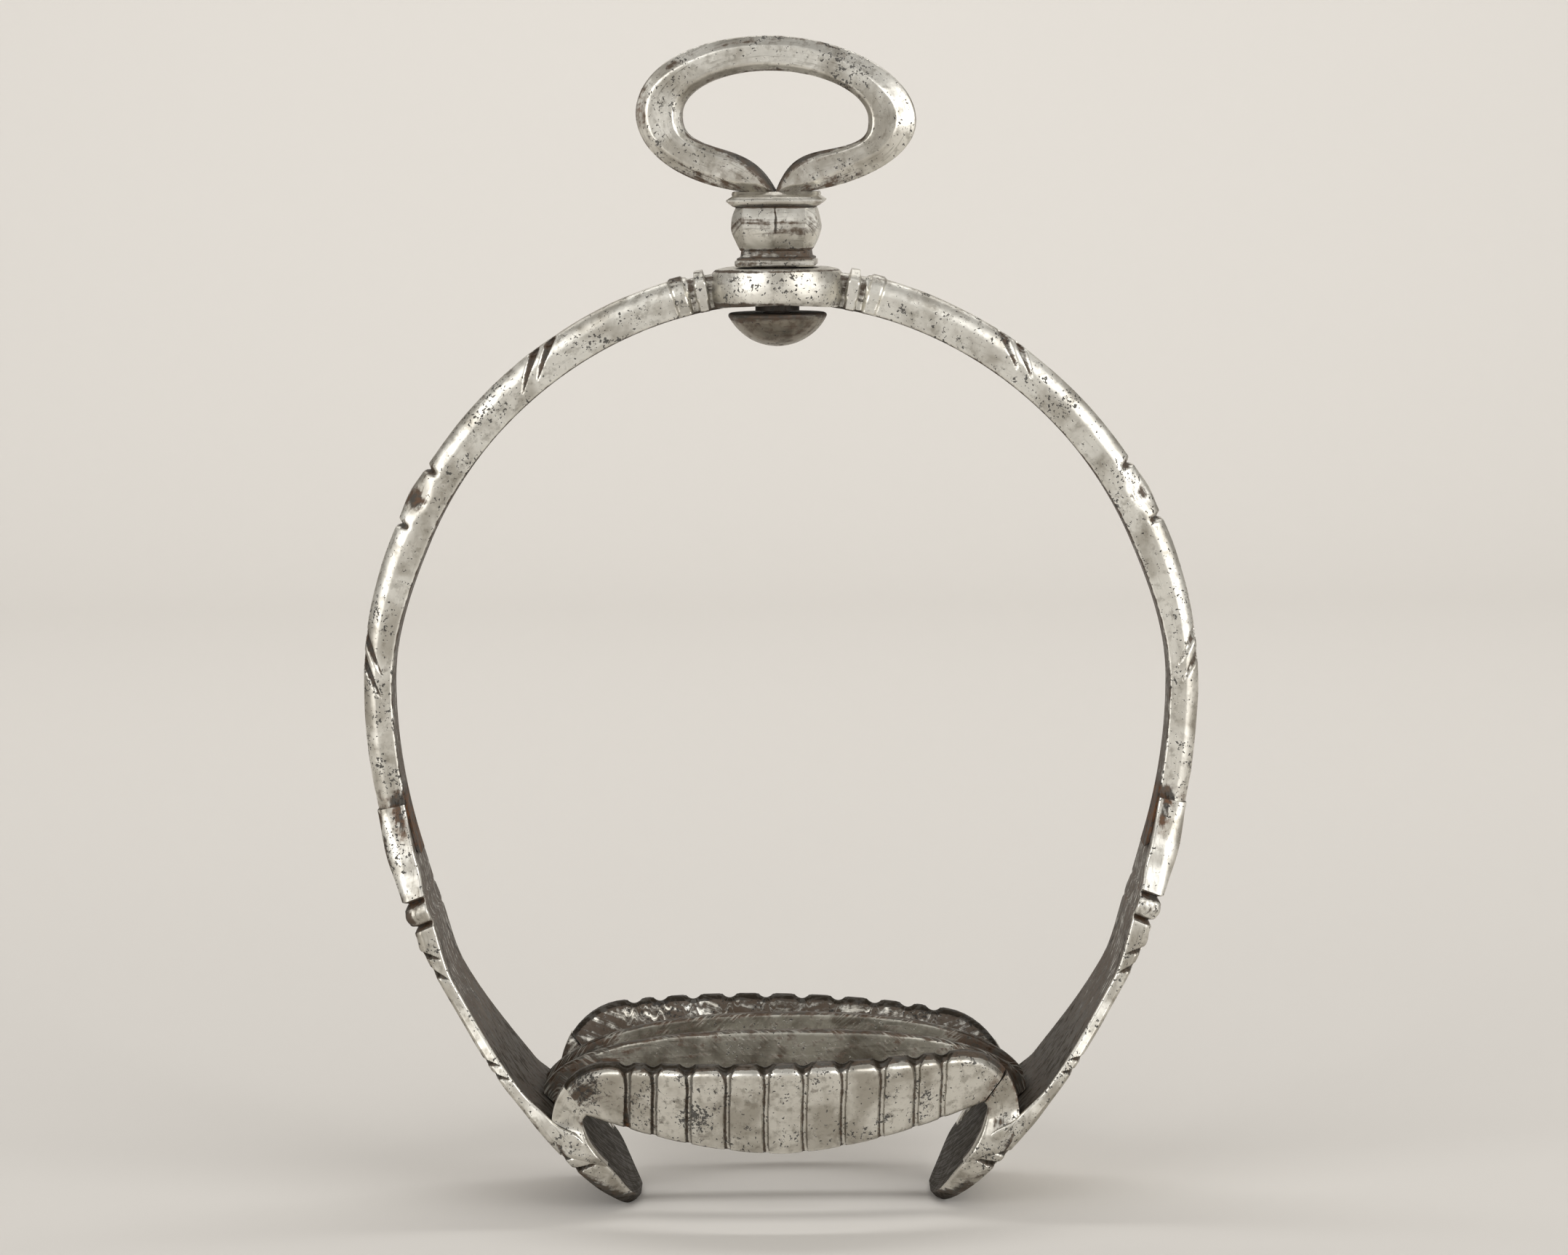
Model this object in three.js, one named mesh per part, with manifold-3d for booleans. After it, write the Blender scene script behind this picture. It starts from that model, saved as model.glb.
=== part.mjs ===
// Iron riding stirrup with a swivelling strap eye.
// A round bow runs down into two deep side plates. Four upright curved bars between the plates make
// an open tread, and the plates carry on below it as two rounded feet.
// Millimetres. X runs across the stirrup, -Y is the front and +Z is up. The origin is on the surface
// that the feet rest on, midway between them.

import * as THREE from 'three';
import { LoftGeometry } from 'three/addons/geometries/LoftGeometry.js';
import { mergeVertices } from 'three/addons/utils/BufferGeometryUtils.js';
import Module from 'manifold-3d';

const wasm = await Module();
wasm.setup();

// Fits
const SEAM_GAP = 0.3; // between pieces that are brazed or riveted face to face
const SWIVEL_CLEARANCE = 0.3; // all round the shank in its hole
const REST_TURN_DEG = -4; // how far the eye stands turned on its shank at rest

// Outer line of the bow: a half circle, then one long curve down to each foot
const BOW_RADIUS = 69.6;
const BOW_FLATTENING = 0.6; // how far the haunches lie inside the half circle, halfway round
const BOW_CENTRE_Z = 87;
const SIDE_PULL = 23.6; // how far the side runs on nearly straight below the half circle
const KNEE_X = 61;
const KNEE_Z = 31.7;
const FOOT_TIP_X = 26;
const FOOT_TIP_Z = -0.8; // the tip is filed flat where it meets the ground at zero

// Bar of the arch
const BAR_THICK = 6.3;
const BAR_THICK_SIDE = 5; // drawn thinner before it meets the side plate
const BAR_TAPER_START_DEG = 68;
const BAR_HALF_DEPTH_CROWN = 3.6;
const BAR_HALF_DEPTH_SIDE = 4.3;
const BAR_BEVEL_IN = 2.5; // the rounded outer bevel, measured inwards on the front
const BAR_BEVEL_BACK = 1.9; // and measured towards the middle of the depth
const ARRIS = 0.45; // the small chamfer on every inner corner

// Boss in the crown, with its grooves, collars and outer ridges, placed from the middle of the crown
const BOSS_RADIUS = 10.6;
const CROWN_FLAT_CUT = 0.45; // filed off the crown for the swivel to turn on
const COLLAR_AT = 13.1;
const COLLAR_WIDTH = 2.3;
const COLLAR_RISE = 0.5;
const COLLAR_PROUD = 1.1;
const RIDGE_AT = 16.6;
const RIDGE_WIDTH = 2;
const RIDGE_RISE = 0.3;
const RIDGE_PROUD = 0.5;
const CROWN_GROOVE_DEPTH = 0.5;

// Knop on each side of the arch: a low swelling between two filed notches
const KNOP_ANGLE_DEG = 62.1;
const KNOP_LENGTH = 10.4;
const KNOP_RISE = 0.35;
const KNOP_NOTCH_DEPTH = 0.8;
const KNOP_NOTCH_WIDTH = 1.6;

// Side plate, given at heights on its outer line: how thick it is there and half its depth
const FOOT_HALF_DEPTH = 17.6;
const SHOULDER = { z: 67, thick: 4.7, half: 4.9 };
const FLARE = { z: 57, thick: 4.4, half: 8.4 };
const BEAD = { z: 49.4, thick: 3.7, half: 11.2 };
const WAIST = { z: 37, thick: 2.1, half: 11.6 };
const THROAT = { z: 19.5, thick: 2, half: 16 };
const SEAT = { z: 14.6, thick: 2.85, half: FOOT_HALF_DEPTH - 0.6 };
const LEDGE = { z: 10.5, thick: 4.5, half: FOOT_HALF_DEPTH };
const TOE = { z: 5.5, thick: 4.2, half: FOOT_HALF_DEPTH };
const TIP = { z: FOOT_TIP_Z, thick: 2.4, half: FOOT_HALF_DEPTH };
const PLATE_BEVEL = 0.9;
const TOE_ROUND_START_Z = 8.5; // below this the foot is rounded off like a tongue
const TOE_ROUND_POWER = 3;
const TOE_ROUND_END = 0.4; // share of the full depth left at the very tip
const BEAD_WIDTH = 2.6;
const BEAD_GROOVE_WIDTH = 1.5;
const BEAD_GROOVE_DEPTH = 0.75;
const LOZENGE_RISE = 0.35;
const SMALL_LOZENGE_Z = 44.4;
const SMALL_LOZENGE_LENGTH = 4;

// Scarf joint where the arch is let into the side plate and brazed
const SCARF_LENGTH = 9.5;

// Fluted tread walls: the top edge is level and then turns down in a quarter ellipse
const TREAD_TOP_Z = 28.4;
const TREAD_TOP_SAG = 0.4; // lower where the shoulder starts
const TREAD_HALF_DEPTH = 31; // to the outer top edge in the middle
const TREAD_END_HALF_DEPTH = 16.6; // and where it comes down on the side plate
const WALL_SHOULDER_X = 28;
const WALL_END_X = 38.7;
const WALL_END_Z = 16.2;
const WALL_LEAN_DEG = 17;
const WALL_THICK_TOP = 3.2;
const WALL_THICK_FOOT = 2.5;
const WALL_EDGE = 0.6;
const WALL_BELLY_Z = 13.2;
const WALL_BELLY_RISE = 5.2; // how much the lower edge has risen at the inner corner
const WALL_BELLY_POWER = 1.6;
const INNER_CORNER_X = 32.7; // under the shoulder, where wall and horn meet
const WALL_SEAM_DEG = 52; // how far round the shoulder the wall ends and the horn begins
const FRONT_WALL_TILT_DEG = 1.4; // the walls were brazed in a little askew: this one rises to the right
const BACK_WALL_TILT_DEG = -2; // and this one falls

// Gadroons: file grooves down the outside of each fluted wall
const GROOVE_PAIRS = 5;
const GROOVE_WIDTH = 1.5;
const GROOVE_DEPTH = 0.65;
const GROOVE_NOTCH = 0.55;
const LOBE_WIDTH = 6.3;
const LOBE_TAPER = 0.62; // how fast the lobes get narrower towards the ends
const LOBE_CROWN = 0.22;

// Horns: they rise from the foot and carry the ends of the fluted walls
const HORN_ROOT_X = 36.6; // outer corner of the root, inside the side plate
const HORN_ROOT_Z = 10.4;
const HORN_TOE_X = 31; // and its inner corner, where it has sunk into the plate's inner face
const HORN_TURN_DEG = 84; // where the horn leaves the ellipse and goes down into the plate
const HORN_HOLLOW = 0.5; // how far its inner edge bends outwards
const HORN_THICK = 4.6;

// Plain rails between the walls
const RAIL_Y = 7.4;
const RAIL_BOW = 3.4;
const RAIL_THICK = 2.2;
const RAIL_TOP_Z = 29.5;
const RAIL_HEIGHT = 9;
const RAIL_SHOULDER_POWER = 2.5;
const RAIL_OVERREACH = 3.2; // cut off again along the side plates
const RAIL_END_DROP = 5;
const RAIL_EDGE = 0.35;

// Swivel: shank, button, neck and strap eye
const SHANK_DIA = 7.3;
const TENON_DIA = 4.2;
const TENON_LENGTH = 2.6;
const BUTTON_DIA = 16.4;
const BUTTON_HEIGHT = 5.6;
const BUTTON_RIM = 0.5;
const BUTTON_DROP = 1.5; // gap under the boss
const BASE_HALF_WIDTH = 6.4;
const BASE_HALF_DEPTH = 5.6;
const BASE_HEIGHT = 1.5;
const WAIST_HALF_WIDTH = 5.65;
const WAIST_HALF_DEPTH = 4.8;
const WAIST_HEIGHT = 1.3;
const BULB_HALF_WIDTH = 7.15;
const BULB_HALF_DEPTH = 6.4;
const BULB_HEIGHT = 6.9;
const COLLAR_HALF_WIDTH = 7.9;
const COLLAR_HALF_DEPTH = 5.6;
const COLLAR_HEIGHT = 2.2;
const NECK_TOP_HEIGHT = 1.2;
const NECK_TOP_HALF_WIDTH = 7.1;
const NECK_CHAMFER = 1.3;
const EYE_HALF_WIDTH = 23;
const EYE_RISE = 13.4; // from the widest point up to the top
const EYE_FALL = 12.5; // and down to the neck
const EYE_HALF_DEPTH = 2.9;
const EYE_SKEW_DEG = 2.1; // the eye is bent a little off level, its right end lower
const EYE_OUTER_CHAMFER = 1.7;
const EYE_INNER_CHAMFER = 0.9;
const OPENING_HALF_WIDTH = 15.4;
const OPENING_RISE = 7.6;
const OPENING_FALL = 5.2;
const OPENING_SQUARENESS = 3;
const SEAM_V_DEPTH = 7.8;
const SEAM_V_WIDTH = 2.6;

// How finely curves are divided
const ARCH_STEP = 3.6;
const PLATE_STEP = 2.6;
const EYE_STEPS = 56;
const RAIL_STEPS = 22;

const { degToRad, lerp, clamp } = THREE.MathUtils;

// Shared shaping functions

// 0 to 1 with level ends.
function ease(x, from, to) {
  const t = clamp((x - from) / (to - from), 0, 1);
  return t * t * (3 - 2 * t);
}

// A smooth hump, 1 in the middle and 0 from half its width outwards.
function hump(x, middle, width) {
  const t = Math.abs(x - middle) / (width / 2);
  return t < 1 ? (1 + Math.cos(Math.PI * t)) / 2 : 0;
}

// A flat-topped band with short ramps, 1 inside and 0 outside.
function band(x, middle, width, ramp) {
  return 1 - ease(Math.abs(x - middle), width / 2 - ramp, width / 2);
}

// The height of a superellipse at x, 1 in the middle and 0 at its end.
function superellipse(x, halfLength, power) {
  return (1 - Math.min(1, Math.abs(x) / halfLength) ** power) ** (1 / power);
}

// Distances between two ends with no step longer than the given one, with extra ones wherever a
// detail needs them.
function stations(from, to, step, extra = []) {
  const count = Math.ceil((to - from) / step);
  const even = Array.from({ length: count + 1 }, (_, i) => lerp(from, to, i / count));
  const inside = extra.filter((x) => x > from && x < to);
  const kept = even.filter((x) => x === from || x === to || inside.every((e) => Math.abs(e - x) > 0.2));
  return [...kept, ...inside].sort((a, b) => a - b).filter((x, i, all) => i === 0 || x - all[i - 1] > 0.02);
}

// Solids

function loft(rings) {
  return new LoftGeometry(rings, { capStart: true, capEnd: true });
}

function toSolid(geometry) {
  const bare = new THREE.BufferGeometry().copy(geometry);
  bare.deleteAttribute('normal');
  bare.deleteAttribute('uv');
  const merged = mergeVertices(bare, 1e-4);
  const vertProperties = new Float32Array(merged.getAttribute('position').array);
  const triVerts = new Uint32Array(merged.getIndex().array);
  return new wasm.Manifold(new wasm.Mesh({ numProp: 3, vertProperties, triVerts }));
}

function toGeometry(solid) {
  const { vertProperties, triVerts, numProp } = solid.getMesh();
  const positions = [];
  for (let i = 0; i < vertProperties.length; i += numProp) {
    positions.push(vertProperties[i], vertProperties[i + 1], vertProperties[i + 2]);
  }
  const geometry = new THREE.BufferGeometry();
  geometry.setAttribute('position', new THREE.Float32BufferAttribute(positions, 3));
  geometry.setIndex(Array.from(triVerts));
  geometry.computeVertexNormals();
  return geometry;
}

function boxSolid(width, depth, height, x, y, z) {
  return toSolid(new THREE.BoxGeometry(width, depth, height).translate(x, y, z));
}

// A flat outline in X and Z, carried through the depth.
function slabSolid(points, halfDepth) {
  const shape = new THREE.Shape(points.map(([x, z]) => new THREE.Vector2(x, z)));
  const slab = new THREE.ExtrudeGeometry(shape, { depth: 2 * halfDepth, bevelEnabled: false });
  slab.rotateX(Math.PI / 2);
  slab.translate(0, halfDepth, 0);
  return toSolid(slab);
}

// Outer line of the bow

const ARC_LENGTH = (BOW_RADIUS * Math.PI) / 2;
const lowerLimb = new THREE.CubicBezierCurve(
  new THREE.Vector2(BOW_RADIUS, BOW_CENTRE_Z),
  new THREE.Vector2(BOW_RADIUS, BOW_CENTRE_Z - SIDE_PULL),
  new THREE.Vector2(KNEE_X, KNEE_Z),
  new THREE.Vector2(FOOT_TIP_X, FOOT_TIP_Z),
);
const LIMB_LENGTH = lowerLimb.getLength();

// Point on the right half of the outer line, and the direction out of the bow there, at a distance
// from the middle of the crown.
function outerLine(distance) {
  if (distance <= ARC_LENGTH) {
    const angle = distance / BOW_RADIUS;
    const out = new THREE.Vector2(Math.sin(angle), Math.cos(angle));
    const reach = BOW_RADIUS - BOW_FLATTENING * Math.sin(2 * angle) ** 2;
    return { point: new THREE.Vector2(0, BOW_CENTRE_Z).addScaledVector(out, reach), out };
  }
  const u = Math.min(1, (distance - ARC_LENGTH) / LIMB_LENGTH);
  const along = lowerLimb.getTangentAt(u);
  return { point: lowerLimb.getPointAt(u), out: new THREE.Vector2(-along.y, along.x) };
}

// Distance from the crown at which the outer line has come down to a height.
function distanceAtHeight(z) {
  let [near, far] = [ARC_LENGTH, ARC_LENGTH + LIMB_LENGTH];
  for (let i = 0; i < 40; i += 1) {
    const middle = (near + far) / 2;
    if (outerLine(middle).point.y > z) near = middle;
    else far = middle;
  }
  return (near + far) / 2;
}

const SHOULDER_AT = distanceAtHeight(SHOULDER.z);
const TIP_AT = ARC_LENGTH + LIMB_LENGTH;

// One cross section of the bow. Going in from the outer line it has a rounded bevel, a flat front, a
// small arris and the flat inner face. The back is the same as the front.
function bowRing(distance, side, { thick, half, bevelIn, bevelBack, rise = 0 }) {
  const { point, out } = outerLine(distance);
  const profile = [
    [half - bevelBack, -rise],
    [half - 0.32 * bevelBack, bevelIn * 0.4 - rise * 0.6],
    [half, bevelIn],
    [half, thick - ARRIS],
    [half - ARRIS, thick],
  ];
  const front = profile.map(([y, inwards]) => [-y, inwards]);
  const back = profile.map(([y, inwards]) => [y, inwards]).reverse();
  return [...front, ...back].map(
    ([y, inwards]) => new THREE.Vector3(side * (point.x - out.x * inwards), y, point.y - out.y * inwards),
  );
}

// Arch

const KNOP_AT = degToRad(KNOP_ANGLE_DEG) * BOW_RADIUS;

function archSection(distance, grow = 0) {
  const bar = lerp(BAR_HALF_DEPTH_CROWN, BAR_HALF_DEPTH_SIDE, ease(distance, RIDGE_AT, SHOULDER_AT));
  const taper = ease(distance, degToRad(BAR_TAPER_START_DEG) * BOW_RADIUS, ARC_LENGTH);
  const boss = Math.sqrt(Math.max(0, BOSS_RADIUS ** 2 - distance ** 2));
  const grooved = band(distance, 0, 2 * (COLLAR_AT + COLLAR_WIDTH), 0.4);
  const collar = band(distance, COLLAR_AT, COLLAR_WIDTH, 0.5);
  const ridge = band(distance, RIDGE_AT, RIDGE_WIDTH, 0.5);
  const inBoss = boss > bar ? 1 : 0;
  const groove = grooved * (1 - collar) * (1 - inBoss) * CROWN_GROOVE_DEPTH;
  const knop = hump(distance, KNOP_AT, KNOP_LENGTH) * KNOP_RISE;
  const notches = [-0.5, 0.5].map((end) => hump(distance, KNOP_AT + end * KNOP_LENGTH, KNOP_NOTCH_WIDTH));
  return {
    thick: lerp(BAR_THICK, BAR_THICK_SIDE, taper) + grow,
    half: Math.max(bar + collar * COLLAR_PROUD + ridge * RIDGE_PROUD - groove, boss) + grow,
    bevelIn: lerp(BAR_BEVEL_IN, 1.3, grooved),
    bevelBack: lerp(BAR_BEVEL_BACK, 0.9, grooved),
    rise: collar * COLLAR_RISE + ridge * RIDGE_RISE - groove + knop
      - Math.max(...notches) * KNOP_NOTCH_DEPTH + grow,
  };
}

function archStations() {
  const edges = [COLLAR_AT, RIDGE_AT].flatMap((at, i) => {
    const half = [COLLAR_WIDTH, RIDGE_WIDTH][i] / 2;
    return [at - half, at - half + 0.5, at + half - 0.5, at + half];
  });
  const boss = [0, 0.25, 0.45, 0.62, 0.76, 0.87, 0.935].map((share) => share * BOSS_RADIUS);
  const knop = [-0.5, 0.5].flatMap((end) =>
    [-0.5, -0.25, 0, 0.25, 0.5].map((at) => KNOP_AT + end * KNOP_LENGTH + at * KNOP_NOTCH_WIDTH),
  );
  return [...boss, ...edges, ...knop, KNOP_AT];
}

// The bar from one scarf to the other. Grown by the seam gap it is the cutter for the side plates.
function barSolid(grow = 0) {
  const end = SHOULDER_AT + SCARF_LENGTH + 4;
  const half = stations(0, end, ARCH_STEP, archStations());
  const whole = [...half.slice(1).reverse().map((at) => -at), ...half];
  const rings = whole.map((at) => bowRing(Math.abs(at), Math.sign(at) || 1, archSection(Math.abs(at), grow)));
  return toSolid(loft(rings));
}

// A block below the slanting plane of one scarf, moved out by a clearance. The plane crosses the bar
// from the shoulder on the outer line to the inner face at the scarf's length further down.
function scarfBlock(side, clearance = 0) {
  const top = outerLine(SHOULDER_AT);
  const low = outerLine(SHOULDER_AT + SCARF_LENGTH);
  const from = top.point;
  const to = low.point.clone().addScaledVector(low.out, -BAR_THICK_SIDE);
  const along = to.clone().sub(from).normalize();
  const outwards = new THREE.Vector2(-along.y, along.x);
  if (outwards.dot(top.out) < 0) outwards.negate();
  const corner = (a, b) => {
    const p = from.clone().addScaledVector(along, a).addScaledVector(outwards, b + clearance);
    return [side * p.x, p.y];
  };
  const points = [corner(-1.5, 0), corner(60, 0), corner(60, 60), corner(-1.5, 60)];
  return slabSolid(side > 0 ? points.reverse() : points, 30);
}

// The boss is pierced for the shank, and the crown is filed flat round the hole.
const CROWN_FLAT_Z = BOW_CENTRE_Z + BOW_RADIUS - CROWN_FLAT_CUT;
const BOSS_FOOT_Z = BOW_CENTRE_Z + BOW_RADIUS - BAR_THICK;

function archSolid() {
  const hole = new THREE.CylinderGeometry(
    SHANK_DIA / 2 + SWIVEL_CLEARANCE,
    SHANK_DIA / 2 + SWIVEL_CLEARANCE,
    4 * BAR_THICK,
    32,
  );
  hole.rotateX(Math.PI / 2);
  hole.translate(0, 0, CROWN_FLAT_Z);
  const filedOff = boxSolid(3 * COLLAR_AT, 60, 20, 0, 0, CROWN_FLAT_Z + 10);
  const inside = boxSolid(1.6 * BOSS_RADIUS, 60, 20, 0, 0, CROWN_FLAT_Z + 10);
  return barSolid()
    .subtract(scarfBlock(1))
    .subtract(scarfBlock(-1))
    .subtract(toSolid(hole))
    .subtract(filedOff.intersect(inside));
}

// Side plates

const PLATE_KEYS = [SHOULDER, FLARE, BEAD, WAIST, THROAT, SEAT, LEDGE, TOE, TIP].map((key) => ({
  ...key,
  at: distanceAtHeight(key.z),
}));

function plateSection(distance) {
  const after = clamp(PLATE_KEYS.findIndex((key) => key.at > distance), 1, PLATE_KEYS.length - 1);
  const [a, b] = [PLATE_KEYS[after - 1], PLATE_KEYS[after]];
  const share = ease(distance, a.at, b.at);
  const beadAt = PLATE_KEYS[2].at;
  const grooveOffset = (BEAD_WIDTH + BEAD_GROOVE_WIDTH) / 2;
  const groove = BEAD_GROOVE_DEPTH * hump(Math.abs(distance - beadAt), grooveOffset, BEAD_GROOVE_WIDTH);
  const lozengeMiddle = (SHOULDER_AT + beadAt - grooveOffset) / 2;
  const lozenge = hump(distance, lozengeMiddle, beadAt - grooveOffset - SHOULDER_AT);
  const smallLozenge = hump(distance, distanceAtHeight(SMALL_LOZENGE_Z), SMALL_LOZENGE_LENGTH);
  const roundAt = distanceAtHeight(TOE_ROUND_START_Z);
  const along = clamp((distance - roundAt) / (TIP_AT - roundAt), 0, 1);
  const kept = 1 - (1 - TOE_ROUND_END ** TOE_ROUND_POWER) * along ** TOE_ROUND_POWER;
  const tongue = kept ** (1 / TOE_ROUND_POWER);
  const bevel = PLATE_BEVEL * Math.min(1, lerp(a.thick, b.thick, share) / 3);
  return {
    thick: lerp(a.thick, b.thick, share),
    half: lerp(a.half, b.half, share) * tongue - groove,
    bevelIn: bevel + lozenge,
    bevelBack: bevel + lozenge,
    rise: (lozenge + smallLozenge) * LOZENGE_RISE - groove,
  };
}

// Height and place across of the plate's inner face, at a distance from the crown.
function innerFace(distance, clearance = 0) {
  const { point, out } = outerLine(distance);
  return point.clone().addScaledVector(out, -(plateSection(distance).thick + clearance));
}

function plateSolid(side) {
  const beadAt = PLATE_KEYS[2].at;
  const moulding = [-3.3, -2.8, -2.05, -1.3, 0, 1.3, 2.05, 2.8, 3.3].map((offset) => beadAt + offset);
  const toe = [1, 2, 3, 4, 5].map((k) => TIP_AT - 0.55 * k ** 1.5);
  const along = stations(SHOULDER_AT + SEAM_GAP, TIP_AT, PLATE_STEP, [...moulding, ...toe]);
  const rings = along.map((at) => bowRing(at, side, plateSection(at)));
  return toSolid(loft(side > 0 ? rings : rings.map((ring) => ring.reverse())));
}

// Fluted walls and the horns that carry them

const PLAN_SAG = TREAD_HALF_DEPTH - TREAD_END_HALF_DEPTH;
const PLAN_RADIUS = (WALL_END_X ** 2 + PLAN_SAG ** 2) / (2 * PLAN_SAG);

// Point of the shoulder seen from the front, turned down from the top.
function shoulderPoint(turn) {
  const height = TREAD_TOP_Z - TREAD_TOP_SAG - WALL_END_Z;
  return new THREE.Vector2(
    WALL_SHOULDER_X + (WALL_END_X - WALL_SHOULDER_X) * Math.sin(turn),
    WALL_END_Z + height * Math.cos(turn),
  );
}

function wallTop(x) {
  const reach = Math.abs(x);
  if (reach <= WALL_SHOULDER_X) return TREAD_TOP_Z - TREAD_TOP_SAG * (reach / WALL_SHOULDER_X) ** 2;
  return shoulderPoint(Math.asin(Math.min(1, (reach - WALL_SHOULDER_X) / (WALL_END_X - WALL_SHOULDER_X)))).y;
}

function wallFoot(x) {
  return WALL_BELLY_Z + WALL_BELLY_RISE * (Math.abs(x) / INNER_CORNER_X) ** WALL_BELLY_POWER;
}

// Distance of a point of the wall from the middle plane of the stirrup, at some distance inwards from
// the wall's outer face. Seen from above the wall is an arc, and it leans out towards its top edge.
function wallDepth(x, z, inwards) {
  const radius = PLAN_RADIUS - (wallTop(x) - z) * Math.tan(degToRad(WALL_LEAN_DEG)) - inwards;
  return TREAD_HALF_DEPTH - PLAN_RADIUS + Math.sqrt(radius ** 2 - x ** 2);
}

// The two edges of the wall seen from the front. Up to the shoulder they are one above the other,
// and then the upper one runs ahead round the shoulder.
function wallEdges(x) {
  if (Math.abs(x) <= WALL_SHOULDER_X) {
    return { top: new THREE.Vector2(x, wallTop(x)), foot: new THREE.Vector2(x, wallFoot(x)) };
  }
  const share = (Math.abs(x) - WALL_SHOULDER_X) / (INNER_CORNER_X - WALL_SHOULDER_X);
  const top = shoulderPoint(share * degToRad(WALL_SEAM_DEG));
  return { top: new THREE.Vector2(Math.sign(x) * top.x, top.y), foot: new THREE.Vector2(x, wallFoot(x)) };
}

// Middle of each file groove, counted out from the middle lobe.
const GROOVES = Array.from({ length: GROOVE_PAIRS }, (_, i) => {
  const x = LOBE_WIDTH * (i + 0.5) - LOBE_TAPER * Math.max(0, i - 2) ** 2;
  return [x, -x];
}).flat();

function grooveAt(x) {
  return Math.max(...GROOVES.map((middle) => hump(x, middle, GROOVE_WIDTH)));
}

// How far the surface of a lobe stands proud of the wall, most in its middle.
function lobeAt(x) {
  const reach = Math.min(...GROOVES.map((middle) => Math.abs(x - middle)));
  return Math.abs(x) < Math.max(...GROOVES) ? LOBE_CROWN * Math.min(1, reach / (LOBE_WIDTH / 4)) : 0;
}

// How much higher a wall lies at x because it is askew.
function wallTilt(face, x) {
  return x * Math.tan(degToRad(face < 0 ? FRONT_WALL_TILT_DEG : BACK_WALL_TILT_DEG));
}

function wallSolid(face) {
  const cuts = GROOVES.flatMap((middle) => [-0.5, -0.25, 0, 0.25, 0.5].map((k) => middle + k * GROOVE_WIDTH));
  const turns = [1, 2, 3, 4].map((k) => lerp(WALL_SHOULDER_X, INNER_CORNER_X, k / 5));
  const ends = turns.flatMap((x) => [x, -x]);
  const along = stations(-INNER_CORNER_X, INNER_CORNER_X, 2.4, [...cuts, ...ends]);
  const rings = along.map((x) => {
    const { top, foot } = wallEdges(x);
    const groove = grooveAt(x);
    const cut = groove * GROOVE_DEPTH - lobeAt(x);
    top.y -= groove * GROOVE_NOTCH;
    const edge = WALL_EDGE / top.distanceTo(foot);
    const ring = [
      [1, WALL_EDGE + cut * 0.6],
      [1 - 1.5 * edge, cut],
      [0.5, cut],
      [edge, cut],
      [0, WALL_EDGE + cut],
      [0, WALL_THICK_FOOT],
      [1 - edge / 2, WALL_THICK_TOP],
      [1, WALL_THICK_TOP - WALL_EDGE],
    ].map(([share, inwards]) => {
      const at = foot.clone().lerp(top, share);
      return new THREE.Vector3(at.x, face * wallDepth(at.x, at.y, inwards), at.y + wallTilt(face, at.x));
    });
    return face < 0 ? ring : ring.reverse();
  });
  return toSolid(loft(rings));
}

// The part of the foot that rises to carry one end of a fluted wall. It starts a seam gap beyond the
// wall, follows the rest of the shoulder and ends inside the side plate.
function hornSolid(side, face) {
  const wallEnd = wallEdges(INNER_CORNER_X);
  const across = wallEnd.top.clone().sub(wallEnd.foot).normalize();
  const gap = new THREE.Vector2(across.y, -across.x).multiplyScalar(SEAM_GAP);
  const start = { top: wallEnd.top.add(gap), foot: wallEnd.foot.add(gap) };
  const root = new THREE.Vector2(HORN_ROOT_X, HORN_ROOT_Z);
  const turnShare = 0.6;
  const rings = [0, 0.15, 0.3, 0.45, turnShare, 0.8, 1].map((share) => {
    const turn = degToRad(lerp(WALL_SEAM_DEG, HORN_TURN_DEG, Math.min(1, share / turnShare)));
    const outer = share === 0 ? start.top.clone() : shoulderPoint(turn);
    outer.lerp(root, Math.max(0, (share - turnShare) / (1 - turnShare)));
    const inner = new THREE.Vector2(
      lerp(start.foot.x, HORN_TOE_X, share ** 2) + HORN_HOLLOW * Math.sin(Math.PI * share),
      lerp(start.foot.y, HORN_ROOT_Z - SEAM_GAP, share),
    );
    const merge = ease(lerp(inner.y, outer.y, 0.5), 13, 18);
    const ring = [[1, 0], [0.5, 0], [0, 0], [0, 1], [1, 1]].map(([part, back]) => {
      const at = inner.clone().lerp(outer, part);
      const wallY = wallDepth(at.x, at.y, back * lerp(WALL_THICK_FOOT, WALL_THICK_TOP, part));
      const y = lerp(FOOT_HALF_DEPTH - SEAM_GAP - back * HORN_THICK, wallY, merge);
      return new THREE.Vector3(side * at.x, face * y, at.y + wallTilt(face, side * at.x));
    });
    return side * face < 0 ? ring : ring.reverse();
  });
  return toSolid(loft(rings));
}

function cheekSolid(side) {
  const pocket = barSolid(SEAM_GAP).subtract(scarfBlock(side, SEAM_GAP));
  const ground = boxSolid(300, 200, 40, 0, 0, -20);
  return plateSolid(side)
    .add(hornSolid(side, -1))
    .add(hornSolid(side, 1))
    .subtract(pocket)
    .subtract(ground);
}

// Everything between the inner faces of the two side plates, less the seam gap. It cuts the rails to
// length, so that their ends follow the plates.
function betweenPlates() {
  const reach = stations(distanceAtHeight(48), TIP_AT, 1.2);
  const right = reach.map((at) => innerFace(at, SEAM_GAP)).map((p) => [p.x, p.y]);
  const left = right.map(([x, z]) => [-x, z]).reverse();
  return slabSolid([...right, ...left].reverse(), 40);
}

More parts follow.
